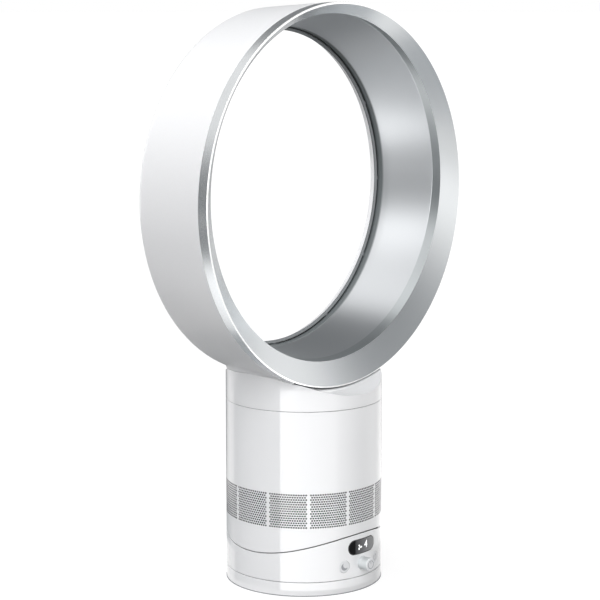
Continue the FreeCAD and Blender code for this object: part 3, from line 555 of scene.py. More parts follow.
class FAN_OT_finishes(FanOperator, bpy.types.Operator):
    """Make the fan's paints, plastics and metals"""

    bl_idname = "fan.finishes"
    bl_label = "Finishes"

    def execute(self, context):
        colours = context.scene.fan_finish
        flake, moulding = flake_group(), moulding_group()
        fine, coarse = 2600.0, 900.0
        finish("silver casing paint", flake, colours.casing_silver, 0.4, 0.04, fine, Coat_Weight=0.2,
               Coat_Roughness=0.15)
        finish("silver trim", flake, colours.trim_silver, 0.27, 0.008, fine, Metallic=0.92)
        # Painted highlight: a brighter, fully metallic silver on the rim stands for the light that the rim's
        # rounded edge catches
        finish("rim painted highlight", flake, (0.95, 0.95, 0.95), 0.25, 0.008, fine, Metallic=1.0)
        # The guide paint ends in the painted shade of the air slot
        finish("silver guide paint", flake, colours.guide_silver, 0.33, 0.02, fine, throat=colours.slot_painted_shade)
        finish("silver guide band", flake, (0.47, 0.495, 0.505), 0.3, 0.04, fine, Metallic=1.0)
        finish("plated steel", flake, (0.56, 0.56, 0.57), 0.28, 0.06, 5000.0, Metallic=1.0)
        # Painted shade: a mid grey on the lip's front face and a darker grey on its edge stand for the shade
        # and dark reflection there
        finish("lip face painted shade", moulding, (0.28, 0.295, 0.305), 0.5, 0.05, coarse)
        finish("lip edge painted shade", moulding, (0.13, 0.138, 0.145), 0.5, 0.05, coarse)
        finish("glossy white plastic", moulding, colours.drum_white, 0.3, 0.01, coarse, Coat_Weight=1.0,
               Coat_Roughness=0.04, Coat_IOR=1.65, Specular_IOR_Level=0.4)
        # Painted shade: a near black that stands for the shade inside the holes and behind the shell
        finish("inner wall painted shade", moulding, (0.035, 0.036, 0.04), 0.6, 0.1, coarse)
        finish("satin white key", moulding, colours.key_white, 0.35, 0.01, coarse, Coat_Weight=0.3,
               Coat_Roughness=0.15)
        # Painted shade: the knob's side is a darker grey copy of the key plastic
        finish("knob side painted shade", moulding, colours.knob_side_painted_shade, 0.3, 0.02, coarse, Metallic=0.2)
        finish("grey printed mark", moulding, colours.mark_grey, 0.5, 0.06, coarse)
        finish("dark window border", moulding, (0.03, 0.03, 0.032), 0.25, 0.1, coarse,
               Specular_IOR_Level=0.4)
        finish("soft black rubber", moulding, (0.03, 0.03, 0.032), 0.75, 0.25, 1800.0, bump=0.4)
        finish("fine black plastic", moulding, (0.035, 0.035, 0.038), 0.5, 0.1, 2500.0, bump=0.3)
        finish("grey moulded plastic", moulding, (0.26, 0.27, 0.29), 0.48, 0.08, 2200.0, bump=0.25)
        finish("natural acetal", moulding, (0.80, 0.79, 0.75), 0.32, 0.04, coarse, Subsurface_Weight=0.1)
        finish("open foam", moulding, (0.10, 0.10, 0.11), 0.95, 0.5, 1100.0, bump=1.0, relief=0.8)
        finish("green circuit board", moulding, (0.02, 0.12, 0.06), 0.35, 0.3, coarse, Coat_Weight=0.5)
        window_finish(colours)
        lamp_finish(colours)
        return {"FINISHED"}


# The air loop


def casing_profile(shape):
    """The outer casing's section, as (radius, centre height, y): out, round the rear and back inside."""
    z, throat, rear, wall = shape.axis_height, shape.throat_height, shape.rear, 2.0 * MM
    centre = shape.rear_radius - shape.rear_round, rear - shape.rear_round
    start = shape.joint + 0.1 * MM
    return [(shape.casing_radius - 0.25 * MM, z, start), (shape.casing_radius, z, shape.joint + 0.35 * MM),
            *((radius, z, y) for radius, y in quarter(shape.rear_round, *centre, 0, 90, 12)),
            (shape.lip_joint + 0.3 * MM, throat, rear), (shape.lip_joint, throat, rear - 0.3 * MM),
            (shape.lip_joint, throat, rear - wall),
            *((radius, z, y) for radius, y in quarter(shape.rear_round - wall, *centre, 90, 0, 5)),
            (shape.casing_radius - wall, z, start)]


def casing_radius_at(shape, y):
    """The radius of the loop's outer surface at a depth."""
    start = shape.rear - shape.rear_round
    if y < shape.joint:
        share = (y - shape.joint) / (shape.front - shape.joint)
        return shape.casing_radius + (shape.front_radius - shape.casing_radius) * share
    if y < start:
        share = (y - shape.joint) / (start - shape.joint)
        return shape.casing_radius + (shape.rear_radius - shape.casing_radius) * share
    rise = min(y - start, shape.rear_round * 0.9)
    return shape.rear_radius - shape.rear_round + math.sqrt(shape.rear_round ** 2 - rise ** 2)


def ease(value):
    """A smooth step from 0 to 1."""
    value = min(max(value, 0.0), 1.0)
    return value * value * (3 - 2 * value)


def wall_top(shape, drum, y):
    """Distance from the loop's axis to the top of the collar's wall at a depth."""
    if y < shape.front:
        share = (y - shape.front) / (-drum.radius - shape.front)
        return drum.saddle + (drum.shoulder - drum.saddle) * min(share, 1.0)
    low = drum.saddle - 1.0 * MM * ease((y - shape.front) / (30.0 * MM))
    return low - (low - drum.rear_shoulder) * ease((y - 18.0 * MM) / (28.0 * MM))


def saddle_radius(shape, drum, y):
    """Distance from the loop's axis to the collar's top inside its wall at a depth."""
    if y > shape.rear + 5.0 * MM:
        return drum.rear_shoulder
    if y > shape.rear - 1.0 * MM:
        share = (shape.rear + 5.0 * MM - y) / (6.0 * MM)
        return drum.rear_shoulder - 7.0 * MM * (1 - math.sqrt(max(0.0, 1 - share * share)))
    hidden = casing_radius_at(shape, y) - 0.4 * MM
    share = ease((y - (shape.front + 9.0 * MM)) / (3.0 * MM))
    return wall_top(shape, drum, y) * (1 - share) + hidden * share


def loop_surface_height(shape, radius, x):
    """Height at which a circle about the loop's axis passes, below the axis."""
    return shape.axis_height - math.sqrt(radius ** 2 - x ** 2)


class FAN_OT_outer_casing(FanOperator, bpy.types.Operator):
    """Build the loop's outer casing and the neck that sweeps into the collar"""

    bl_idname = "fan.outer_casing"
    bl_label = "Outer Casing"

    def execute(self, context):
        shape, drum = context.scene.fan_loop, context.scene.fan_drum
        paint = ["silver casing paint"]
        casing = rings(casing_profile(shape), loop_spot, FACES_ACROSS_LOOP)
        piece(casing, "loop_casing", "loop", paint, ["loop_outer_casing"])

        def neck_spot(unit, station):
            """A point of the fillet from the wall's top to the casing, from (share of the reach, lift)."""
            share, lift = station
            side = drum.radius * unit.y
            depth = min(max(side, shape.front + 6.0 * MM), shape.rear - 3.0 * MM)
            surface = casing_radius_at(shape, depth)
            gap = wall_top(shape, drum, min(max(side, shape.front), shape.rear)) - surface
            ring_radius = drum.radius - 0.02 * MM + share * 1.15 * gap
            x, y = ring_radius * unit.x, ring_radius * unit.y
            away = max(0.0, 1.0 - share)
            drop = 0.0 if lift else gap * (1 - math.sqrt(max(0.0, 1 - away * away)))
            return Vector((x, y, loop_surface_height(shape, surface + drop - lift, x)))

        skirt = [(step / 9.0, 0.0) for step in range(10)]
        inside = [(1.0, 0.7 * MM), (-0.12, 0.7 * MM)]
        bm = rings(skirt + inside, neck_spot, FACES_ROUND_DRUM)
        for side in (shape.front + 6.0 * MM, shape.rear - 2.0 * MM):
            beyond = Vector((0, -1 if side < 0 else 1, 0))
            cut = bmesh.ops.bisect_plane(bm, geom=bm.verts[:] + bm.edges[:] + bm.faces[:],
                                         plane_co=(0, side, 0), plane_no=beyond, clear_outer=True)
            bmesh.ops.holes_fill(bm, edges=only(cut, Edge, "geom_cut"), sides=0)
        outward(bm)
        piece(bm, "loop_neck", "loop", paint, limit=60.0)
        return {"FINISHED"}


class FAN_OT_rear_lip(FanOperator, bpy.types.Operator):
    """Build the rear lip that covers the air slot"""

    bl_idname = "fan.rear_lip"
    bl_label = "Rear Lip"

    def execute(self, context):
        shape = context.scene.fan_loop
        lip, edge_y, joint, rear = shape.lip_radius, shape.lip_edge, shape.lip_joint, shape.rear
        rim, rim_radius = 4.0 * MM, 153.4 * MM
        section = [(joint - 0.2 * MM, rear - 2.5 * MM), (joint - 0.2 * MM, rear - 0.3 * MM),
                   (joint - 0.5 * MM, rear), *quarter(rim, rim_radius + rim, rear - rim, 90, 180, 8),
                   (lip + 0.05 * MM, edge_y + 0.7 * MM), (lip + 0.3 * MM, edge_y - 0.2 * MM),
                   (lip + 2.5 * MM, edge_y - 0.95 * MM), (lip + 2.8 * MM, edge_y - 0.75 * MM),
                   (156.45 * MM, rear - 3.5 * MM)]
        bm = rings([(radius, shape.throat_height, y) for radius, y in section], loop_spot, FACES_ACROSS_LOOP)
        # Painted shade: the lip's front face and its edge get the grey finishes that stand for their shade
        for face in bm.faces:
            middle = face.calc_center_median()
            radius = math.hypot(middle.x, middle.z - shape.throat_height)
            if middle.y < edge_y - 0.3 * MM:
                face.material_index = 1
            elif middle.y < edge_y + 0.6 * MM and radius < lip + 1.0 * MM:
                face.material_index = 2
        piece(bm, "rear_lip", "loop",
              ["silver casing paint", "lip face painted shade", "lip edge painted shade"], ["loop_rear_lip"])
        return {"FINISHED"}


# The inner casing's section in millimetres: radius, how far the circle's centre stands above the slot's,
# and y. It runs from the guide band's end along the diffuser, round the slot and back outside.
BAND_END = -26.9
INNER_CASING = (
    (164.6, 4.3, -27.0), (164.5, 4.25, -26.8), (160.6, 2.6, -4.5), (156.2, 0.7, 20.0), (155.35, 0.3, 25.5),
    (154.7, 0, 30.5), (154.5, 0, 33.5), (154.7, 0, 35.2), (155.3, 0, 37.0), (156.1, 0, 39.2),
    (157.1, 0, 41.1), (159.4, 0, 41.1), (157.6, 0, 36.4), (157.4, 0, 30.5), (158.6, 0.7, 20.0),
    (166.8, 4.3, -27.0), (166.7, 2.5, -37.2))


class FAN_OT_inner_casing(FanOperator, bpy.types.Operator):
    """Build the inner casing: guide band, long diffuser and the slot's curved surface"""

    bl_idname = "fan.inner_casing"
    bl_label = "Inner Casing"

    def execute(self, context):
        shape = context.scene.fan_loop
        throat = shape.throat_height
        section = [(shape.guide_radius + 0.05 * MM, throat + 2.5 * MM, shape.flare_depth + 0.05 * MM)]
        section += [(radius, throat + rise, y) for radius, rise, y in metres(*INNER_CASING)]
        bm = rings(section, loop_spot, FACES_ACROSS_LOOP)
        second_finish(bm, lambda face: face.calc_center_median().y < BAND_END * MM)
        piece(bm, "inner_casing", "loop", ["silver guide paint", "silver guide band"],
              ["loop_inner_casing"], limit=8.0)
        return {"FINISHED"}


class FAN_OT_front_trim(FanOperator, bpy.types.Operator):
    """Build the front trim: bevel band, rim with a painted highlight, and flare"""

    bl_idname = "fan.front_trim"
    bl_label = "Front Trim"

    def execute(self, context):
        shape = context.scene.fan_loop
        z, front, rim = shape.axis_height, shape.front, shape.rim_round
        casing, flare, guide = shape.casing_radius, shape.flare_radius, shape.guide_radius
        flare_end, flare_height = shape.flare_depth - 0.02 * MM, 384.0 * MM
        edge = quarter(rim, shape.front_radius - rim, front + rim, 0, -90, 6)
        section = [(casing - 0.2 * MM, z, shape.joint - 0.1 * MM), (casing, z, shape.joint - 0.3 * MM),
                   *((radius, z, y) for radius, y in edge),
                   (flare + 0.2 * MM, z - 0.4 * MM, front),
                   (flare - 0.1 * MM, z - 0.4 * MM, front + 0.15 * MM),
                   (guide + 0.3 * MM, flare_height - 0.1 * MM, shape.flare_depth - 0.25 * MM),
                   (guide, flare_height, flare_end), (guide + 1.8 * MM, flare_height, flare_end),
                   *metres((179.0, 378.5, -46.0)), (casing - 2.0 * MM, z, shape.joint - 0.1 * MM)]
        bm = rings(section, loop_spot, FACES_ACROSS_LOOP)
        # Painted highlight: the rim's flat face gets the brighter silver
        second_finish(bm, lambda face: all(abs(vert.co.y - front) < 0.3 * MM for vert in face.verts))
        piece(bm, "front_trim", "loop", ["silver trim", "rim painted highlight"],
              ["loop_front_trim"], limit=10.0)
        return {"FINISHED"}


class FAN_OT_collar(FanOperator, bpy.types.Operator):
    """Build the collar that carries the loop"""

    bl_idname = "fan.collar"
    bl_label = "Collar"

    def execute(self, context):
        shape, drum = context.scene.fan_loop, context.scene.fan_drum
        radius, edge = drum.radius, drum.edge_round
        low = drum.collar_seam + drum.collar_gap / 2
        inside = radius - drum.wall
        drops = {radius: 0.9 * MM, radius - 0.12 * MM: 0.5 * MM, radius - 0.4 * MM: 0.15 * MM}
        shelf = radius - 0.9 * MM
        stations = [(inside, low)]
        stations += [(radius - inset * edge, low + rise * edge) for inset, rise in ROUNDED_EDGE]
        stations += [(ring_radius, None) for ring_radius in drops]
        stations += [(shelf - 1.2 * MM * step, None) for step in range(31)]
        stations += [(inside, 188.0 * MM)]

        def collar_spot(unit, station):
            """A point of the collar, from (radius, height or None on its top)."""
            ring_radius, height = station
            x, y = ring_radius * unit.x, ring_radius * unit.y
            if height is None:
                edge_top = wall_top(shape, drum, y)
                behind_edge = ease((shelf - ring_radius) / (2.4 * MM))
                top = edge_top + (saddle_radius(shape, drum, y) - edge_top) * behind_edge
                height = loop_surface_height(shape, top, x) - drops.get(ring_radius, 0.0)
            return Vector((x, y, height))

        piece(rings(stations, collar_spot, FACES_ROUND_DRUM), "collar", "loop",
              ["glossy white plastic"], ["loop_collar"])
        return {"FINISHED"}


# The drum


def tilt_seam_height(drum, y, offset):
    """Height of the curved seam at a depth, on the body's side of it or the base's."""
    return drum.tilt_axis - math.sqrt((drum.tilt_radius + offset) ** 2 - y ** 2)


class FAN_OT_fan_body(FanOperator, bpy.types.Operator):
    """Build the fan body's shell with every hole of its air inlet"""

    bl_idname = "fan.fan_body"
    bl_label = "Fan Body"

    def execute(self, context):
        drum, inlet = context.scene.fan_drum, context.scene.fan_inlet
        bm = bmesh.new()
        radius, tall = drum.radius, inlet.row_pitch
        pitch = inlet.hole_pitch * radius
        half_panel = inlet.holes_across * pitch / 2
        gap = FULL_TURN / inlet.panels * radius - 2 * half_panel
        half_band = inlet.rows * tall / 2
        low, high = inlet.middle - half_band, inlet.middle + half_band

        def brick(x, z):
            """One brick with an eight-sided hole, flat in the XZ plane."""
            hole = bmesh.ops.create_circle(bm, segments=8, radius=inlet.hole_radius)["verts"]
            edge = bmesh.ops.create_circle(bm, segments=8, radius=1.0)["verts"]
            for vert in edge:
                vert.co.x = pitch / 2 * round(vert.co.x * 1.2)
                vert.co.y = tall / 2 * round(vert.co.y * 1.2)
            bmesh.ops.bridge_loops(bm, edges=list(set(edges_of(hole)) | set(edges_of(edge))))
            for vert in hole + edge:
                vert.co = Vector((vert.co.x + x, 0.0, vert.co.y + z))

        def plain(x, z, width, height, steps):
            """A plain strip with points up its sides where its neighbours have theirs."""
            made = bmesh.ops.create_grid(bm, x_segments=1, y_segments=steps, size=0.5)
            for vert in made["verts"]:
                vert.co = Vector((vert.co.x * width + x, 0.0, vert.co.y * height + z))

        for row in range(inlet.rows):
            z = low + (row + 0.5) * tall
            across = inlet.holes_across - row % 2
            for hole in range(across):
                brick((hole + 0.5 - across / 2) * pitch, z)
            if row % 2:
                for side in (-1, 1):
                    plain(side * (half_panel - pitch / 4), z, pitch / 2, tall, 2)
        plain(half_panel + gap / 2, inlet.middle, gap, 2 * half_band, 2 * inlet.rows)
        weld(bm, SAME_BRICK_SPOT)
        for vert in bm.verts:
            turn = vert.co.x / radius + inlet.turn
            vert.co = Vector((radius * math.sin(turn), -radius * math.cos(turn), vert.co.z))
        panel = bm.verts[:] + bm.edges[:] + bm.faces[:]
        for index in range(1, inlet.panels):
            copies = only(bmesh.ops.duplicate(bm, geom=panel), Vert)
            rotate(bm, index * FULL_TURN / inlet.panels, "Z", copies)
        weld(bm, SAME_BRICK_SPOT)

        def rim(height):
            """The open edge at a height."""
            return [edge for edge in bm.edges if edge.is_boundary
                    and all(abs(vert.co.z - height) < 0.05 * MM for vert in edge.verts)]

        def top(y):
            return drum.collar_seam - drum.collar_gap / 2

        def bottom(y):
            return tilt_seam_height(drum, y, -drum.tilt_gap / 2)

        for edges, end, way in ((rim(high), top, -1), (rim(low), bottom, 1)):
            for inset, rise in reversed(ROUNDED_EDGE):
                made = bmesh.ops.extrude_edge_only(bm, edges=edges)
                for vert in only(made, Vert):
                    flat = Vector((vert.co.x, vert.co.y, 0.0)).normalized()
                    flat *= radius - inset * drum.edge_round
                    vert.co = Vector((flat.x, flat.y, end(flat.y) + way * rise * drum.edge_round))
                edges = only(made, Edge)
        outward(bm)
        sample = max(bm.faces, key=lambda face: face.calc_area())
        middle = sample.calc_center_median()
        if sample.normal.x * middle.x + sample.normal.y * middle.y < 0:
            bmesh.ops.reverse_faces(bm, faces=bm.faces[:])
        bmesh.ops.solidify(bm, geom=bm.faces[:], thickness=inlet.screen_wall)
        # Painted shade: the shell's inner faces and the walls of its holes get the near black that stands
        # for the shade in the holes
        for face in bm.faces:
            middle = face.calc_center_median()
            facing = face.normal.dot(Vector((middle.x, middle.y, 0.0)).normalized())
            in_band = low + 0.1 * MM < middle.z < high - 0.1 * MM
            if facing < -0.5 or (in_band and facing < 0.5):
                face.material_index = 1
        piece(bm, "fan_body_shell", "main_body", ["glossy white plastic", "inner wall painted shade"],
              ["body_shell", "inlet_screens"])
        return {"FINISHED"}


def stadium_point(index, controls, inset):
    """A point of the display's outline, counted from the bottom of its right end, drawn in by an inset."""
    radius = controls.display_tall / 2
    flat = controls.display_half_width - radius
    side, step = divmod(index % STADIUM_FACES, STADIUM_FACES // 4)
    share = step / (STADIUM_FACES // 4)
    if side % 2:
        x = flat * (1 - 2 * share)
        z = radius - inset
    else:
        turn = math.pi * (share - 0.5)
        x = flat + (radius - inset) * math.cos(turn)
        z = (radius - inset) * math.sin(turn)
    return (x, z) if side < 2 else (-x, -z)


class FAN_OT_upper_base(FanOperator, bpy.types.Operator):
    """Build the upper base's shell with its openings for the display and the controls"""

    bl_idname = "fan.upper_base"
    bl_label = "Upper Base"

    def execute(self, context):
        drum, controls = context.scene.fan_drum, context.scene.fan_controls
        radius, wall, edge = drum.radius, drum.wall, drum.edge_round
        low = drum.turn_seam + drum.seam / 2
        bore = 22.1 * MM
        stations = [(bore, low, None)]
        stations += [(radius - inset * edge, low + rise * edge, None) for inset, rise in ROUNDED_EDGE]
        stations += [(radius - inset * edge, None, drop * edge) for inset, drop in reversed(ROUNDED_EDGE)]
        stations += [(radius - wall, None, 0.0), (radius - wall, low + wall, None), (bore, low + wall, None)]

        def base_spot(unit, station):
            """A point of the shell, from (radius, height, None) or (radius, None, drop under the seam)."""
            ring_radius, height, drop = station
            x, y = ring_radius * unit.x, ring_radius * unit.y
            if height is None:
                height = tilt_seam_height(drum, y, drum.tilt_gap / 2) - drop
            return Vector((x, y, height))

        depth = 14.0 * MM
        window = bmesh.new()
        outline = bmesh.ops.create_circle(window, segments=STADIUM_FACES, radius=1.0)["verts"]
        for index, vert in enumerate(outline):
            x, z = stadium_point(index, controls, 0.0)
            vert.co = Vector((x + controls.display_middle, -radius - 3 * MM, z + controls.display_height))
        plate(window, outline, depth)
        outward(window)
        tools = [window]
        on_wall = Matrix.Translation((0, -radius, controls.controls_height))
        for turn, hole_radius in ((0.0, controls.knob_radius + 0.25 * MM),
                                  (-controls.button_angle, controls.button_radius),
                                  (controls.button_angle, controls.button_radius)):
            tools.append(rod(hole_radius, depth, Matrix.Rotation(turn, 4, "Z") @ on_wall @ UPRIGHT, 96))
        piece(carve(rings(stations, base_spot, FACES_ROUND_DRUM), *tools), "upper_base_shell_dressed",
              "upper_base", ["glossy white plastic"], ["upper_base_shell"])
        return {"FINISHED"}


class FAN_OT_foot(FanOperator, bpy.types.Operator):
    """Build the foot's shell"""

    bl_idname = "fan.foot"
    bl_label = "Foot"

    def execute(self, context):
        drum = context.scene.fan_drum
        radius, wall, edge = drum.radius, drum.wall, drum.edge_round
        top = drum.turn_seam - drum.seam / 2
        low, bore = 0.9 * MM, 22.0 * MM
        section = [(bore, top - wall), (radius - wall, top - wall), (radius - wall, low),
                   (radius - 0.3 * MM, low), (radius - 0.1 * MM, low + 0.1 * MM), (radius, low + 0.3 * MM)]
        section += [(radius - inset * edge, top - drop * edge) for inset, drop in reversed(ROUNDED_EDGE)]
        section += [(bore, top)]
        cord_hole = rod(4.2 * MM, 9.0 * MM, Matrix.Translation((0, radius, 7.8 * MM)) @ UPRIGHT, 48)
        piece(carve(rings(section, drum_spot, FACES_ROUND_DRUM), cord_hole), "foot_shell_dressed", "foot",
              ["glossy white plastic"], ["foot_shell"])
        return {"FINISHED"}


# The controls

# The window's section in millimetres: inset from its outline and depth below the drum's wall
WINDOW_SECTION = ((7.5, 1.5), (3.0, 1.5), (0.12, 1.5), (0.12, 0.3), (0.16, 0.12), (0.26, 0.03), (0.42, 0.0),
                  (0.95, 0.0), (2.5, 0.0), (5.0, 0.0), (7.5, 0.0))
WINDOW_BORDER = 0.95 * MM


class FAN_OT_display(FanOperator, bpy.types.Operator):
    """Build the display: smoked window, lit fan mark and lit figure"""

    bl_idname = "fan.display"
    bl_label = "Display"

    def execute(self, context):
        radius, controls = context.scene.fan_drum.radius, context.scene.fan_controls
        height = controls.display_height

        def glass_spot(unit, station):
            """A point of the flat window, from (inset, sink)."""
            inset, sink = station
            index = round(math.atan2(unit.y, unit.x) / FULL_TURN * STADIUM_FACES)
            x, z = stadium_point(index, controls, inset)
            return Vector((x + controls.display_middle, sink, z))

        bm = rings(metres(*WINDOW_SECTION), glass_spot, STADIUM_FACES, closed=False)
        weld(bm, SAME_SPOT)
        border = controls.display_tall / 2 - WINDOW_BORDER
        flat = controls.display_half_width - controls.display_tall / 2
        for face in bm.faces:
            middle = face.calc_center_median()
            past_flat = max(0.0, abs(middle.x - controls.display_middle) - flat)
            if math.hypot(past_flat, middle.z) > border:
                face.material_index = 1
        onto_drum(bm, radius)
        shift(bm, 0, 0, height)
        outward(bm)
        piece(bm, "display_glass", "upper_base", ["smoked window", "dark window border"],
              ["display_window"])

        bm = bmesh.new()
        for blade in range(3):
            leaf = bmesh.ops.create_circle(bm, segments=20, radius=1.0, matrix=UPRIGHT)["verts"]
            for vert in leaf:
                along = vert.co.x
                vert.co.x = (1.55 + 1.3 * along) * MM
                vert.co.z = (vert.co.z * (0.72 + 0.32 * along) + 0.4 * along) * MM
            rotate(bm, blade * FULL_TURN / 3 + 0.12, "Y", leaf)
            plate(bm, leaf)
        shift(bm, -4.0 * MM, 0, height - 0.7 * MM)
        onto_drum(bm, radius + 0.1 * MM)
        outward(bm)
        piece(bm, "lit_fan_mark", "upper_base", ["lit figures"], ["display_lamps"])

        curve = bpy.data.curves.new("figure", "FONT")
        curve.body = "4"
        curve.size = 10.6 * MM
        curve.extrude = 0.06 * MM
        curve.offset = -0.1 * MM
        curve.align_x = curve.align_y = "CENTER"
        bm = baked(linked("figure", curve))
        bpy.data.curves.remove(curve)
        weld(bm, SAME_SPOT)
        rotate(bm, QUARTER_TURN, "X")
        shift(bm, 4.9 * MM, 0, height + 0.3 * MM)
        onto_drum(bm, radius + 0.06 * MM)
        piece(bm, "lit_figure", "upper_base", ["lit figures"])
        return {"FINISHED"}


class FAN_OT_buttons(FanOperator, bpy.types.Operator):
    """Build the sleep button with its moon and the turning button with its arrows"""

    bl_idname = "fan.buttons"
    bl_label = "Buttons"

    def execute(self, context):
        drum, controls = context.scene.fan_drum, context.scene.fan_controls
        left, right = -controls.button_angle, controls.button_angle
        base = controls.button_radius - 0.14 * MM
        tip = 0.05 * MM
        stations = [(tip, 6.0 * MM), (base, 6.0 * MM), (base, 0.5 * MM), (base - 0.08 * MM, 0.22 * MM),
                    (base - 0.28 * MM, 0.05 * MM), (base - 0.55 * MM, 0.0), (base * 0.7, 0.0),
                    (base * 0.35, 0.0), (tip, 0.0)]

        def on_button(bm, turn, lift):
            """A flat shape bent onto the drum, where a button stands."""
            onto_drum(bm, drum.radius + lift)
            shift(bm, 0, 0, controls.controls_height)
            rotate(bm, turn, "Z")
            outward(bm)
            return bm

        for turn, name, body, node in ((left, "sleep_cap", "sleep_key", "sleep_button"),
                                       (right, "oscillation_cap", "oscillation_key", "oscillation_button")):
            cap = rings(stations, facing_spot, 64, closed=False)
            fill_ends(cap)
            piece(on_button(cap, turn, 0.0), name, body, ["satin white key"], [node])

        beside = Matrix.Translation((1.7 * MM, 0, 1.7 * MM)) @ UPRIGHT
        moon = carve(rod(3.6 * MM, MARK_THICKNESS, UPRIGHT), rod(3.3 * MM, 1.0 * MM, beside))
        arrows = carve(facing_band(2.5, 3.0, 48), block(bmesh.new(), (0, 0, 0), (2.4, 2.0, 9.0)))
        for side in (-1, 1):
            head = bmesh.ops.create_circle(arrows, segments=3, radius=1.05 * MM, matrix=UPRIGHT)["verts"]
            rotate(arrows, side * QUARTER_TURN, "Y", head)
            shift(arrows, side * 1.5 * MM, 0, side * 2.55 * MM, head)
            plate(arrows, head)
        for bm, turn, name, body in ((moon, left, "moon_mark", "sleep_key"),
                                     (arrows, right, "turning_mark", "oscillation_key")):
            piece(on_button(bm, turn, 0.04 * MM), name, body, ["grey printed mark"])
        return {"FINISHED"}


# The knob's section in millimetres: radius, and depth behind its face
KNOB_SECTION = ((0.05, 17.0), (7.4, 17.0), (7.4, 15.3), (6.3, 15.3), (6.3, 1.0), (6.22, 0.6), (6.0, 0.27),
                (5.68, 0.07), (5.3, 0.0), (3.0, 0.04), (0.05, 0.05))


class FAN_OT_knob(FanOperator, bpy.types.Operator):
    """Build the knob that is turned and pressed, with its power mark"""

    bl_idname = "fan.knob"
    bl_label = "Knob"

    def execute(self, context):
        controls = context.scene.fan_controls
        face_y, middle = controls.knob_face, controls.controls_height
        grow = controls.knob_radius / (6.3 * MM)
        stations = [(radius * grow * MM, face_y + depth * MM) for radius, depth in KNOB_SECTION]
        bm = rings(stations, facing_spot, 96, closed=False)
        fill_ends(bm)
        shift(bm, 0, 0, middle)
        outward(bm)
        # Painted shade: the knob's side faces get the darker grey
        second_finish(bm, lambda face: math.hypot(face.normal.x, face.normal.z) > 0.9)
        piece(bm, "knob_cap", "dial", ["satin white key", "knob side painted shade"], ["dial_knob"])

        opening = block(bmesh.new(), (0, 0, 3.8), (2.0, 2.0, 3.0))
        bm = carve(facing_band(3.45, 4.1), opening)
        block(bm, (0, 0.06, 2.6), (0.65, 0.12, 3.6))
        shift(bm, 0, face_y - 0.03 * MM, middle)
        outward(bm)
        piece(bm, "power_mark", "dial", ["grey printed mark"])
        return {"FINISHED"}


# The parts inside

NODE_FINISHES = {
    "soft black rubber": ("rubber_foot_ring", "centre_pad", "airway_seal", "neck_gasket", "trim_gasket"),
    "fine black plastic": ("display_mask", "dial_encoder", "button_switches", "cable_gland",
                           "oscillation_motor"),
    "grey moulded plastic": ("bottom_cover", "turntable_pivot", "tilt_cradle", "rocker_floor", "tilt_rails",
                             "impeller_housing", "diffuser_vanes", "motor_bucket_lower",
                             "motor_bucket_upper", "bayonet_ring", "loop_spigot", "slot_spacers",
                             "air_splitter", "impeller"),
    "natural acetal": ("oscillation_gear", "oscillation_pinion", "slide_ring", "thrust_washer",
                       "tilt_glide_pads", "dial_plunger"),
    "open foam": ("duct_foam",),
    "green circuit board": ("display_board", "control_board", "drive_board"),
    "plated steel": ("cover_screws", "cradle_screws", "housing_screws", "collar_screws", "motor_shaft",
                     "motor_stator", "motor_bearings", "motor_rotor", "impeller_nut", "motor_bracket",
                     "dial_shaft"),
}


class FAN_OT_inner_parts(FanOperator, bpy.types.Operator):
    """Give every part inside the fan its own finish"""

    bl_idname = "fan.inner_parts"
    bl_label = "Inner Parts"

    def execute(self, context):
        for name, members in NODE_FINISHES.items():
            for member in members:
                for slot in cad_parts[member].material_slots:
                    slot.material = finishes[name]
        return {"FINISHED"}


# The studio


def toward(bearing, height):
    """A direction from the fan, by degrees round from the camera's side and degrees above level."""
    turn, rise = math.radians(CAMERA_SIDE + bearing), math.radians(height)
    return Vector((math.cos(turn) * math.cos(rise), math.sin(turn) * math.cos(rise), math.sin(rise)))


def aim(holder, direction, axis):
    """Turns a lamp or the camera so that one of its axes points in a direction."""
    holder.rotation_mode = "QUATERNION"
    holder.rotation_quaternion = direction.to_track_quat(axis, "Y")


def far_light(name, bearing, height, spread, strength):
    """A broad, even light from far away, with its directions and spread in degrees."""
    lamp = bpy.data.lights.new(name, "SUN")
    lamp.angle = math.radians(spread)
    lamp.energy = strength
    holder = linked(name, lamp)
    holder.visible_glossy = False
    aim(holder, toward(bearing, height), "Z")


def card(name, tone, rows, point):
    """A grey or bright card that only reflections show.

    point gives a spot and how solid the card is there, from the shares of the way across and up it.
    """
    bm = bmesh.new()
    fade = bm.verts.layers.float.new("fade")
    for vert in bmesh.ops.create_grid(bm, x_segments=CARD_STEPS, y_segments=rows, size=1.0)["verts"]:
        vert.co, vert[fade] = point((vert.co.x + 1) / 2, (vert.co.y + 1) / 2)
    made = loose_object(name, bm)
    tree = new_finish(name)
    fade = add(tree, "Attribute", attribute_name="fade")
    shade(tree, {"Base Color": (0, 0, 0, 1), "Specular IOR Level": 0.0, "Alpha": fade["Fac"],
                 "Emission Color": (0.95, 0.995, 1.03, 1) if tone < 1 else (1, 1, 1, 1),
                 "Emission Strength": tone})
    made.data.materials.append(finishes[name])
    made.visible_camera = made.visible_diffuse = made.visible_shadow = made.visible_transmission = False


def soft_card(name, bearing, half_turn, level, half_level, tone, spot_of, lowest, highest):
    """A card bent round the fan that fades out towards its edges, so that the silver shows no edge of it."""
    bottom, top = max(level - half_level, lowest), min(level + half_level, highest)

    def point(across, up):
        side, height = 2 * across - 1, bottom + (top - bottom) * up
        from_middle = abs(height - level) / half_level
        solid = ease((1 - abs(side)) / CARD_FADE) * ease((1 - from_middle) / CARD_FADE)
        return spot_of(toward(bearing + half_turn * side, 0.0), height), solid

    card(name, tone, CARD_STEPS, point)


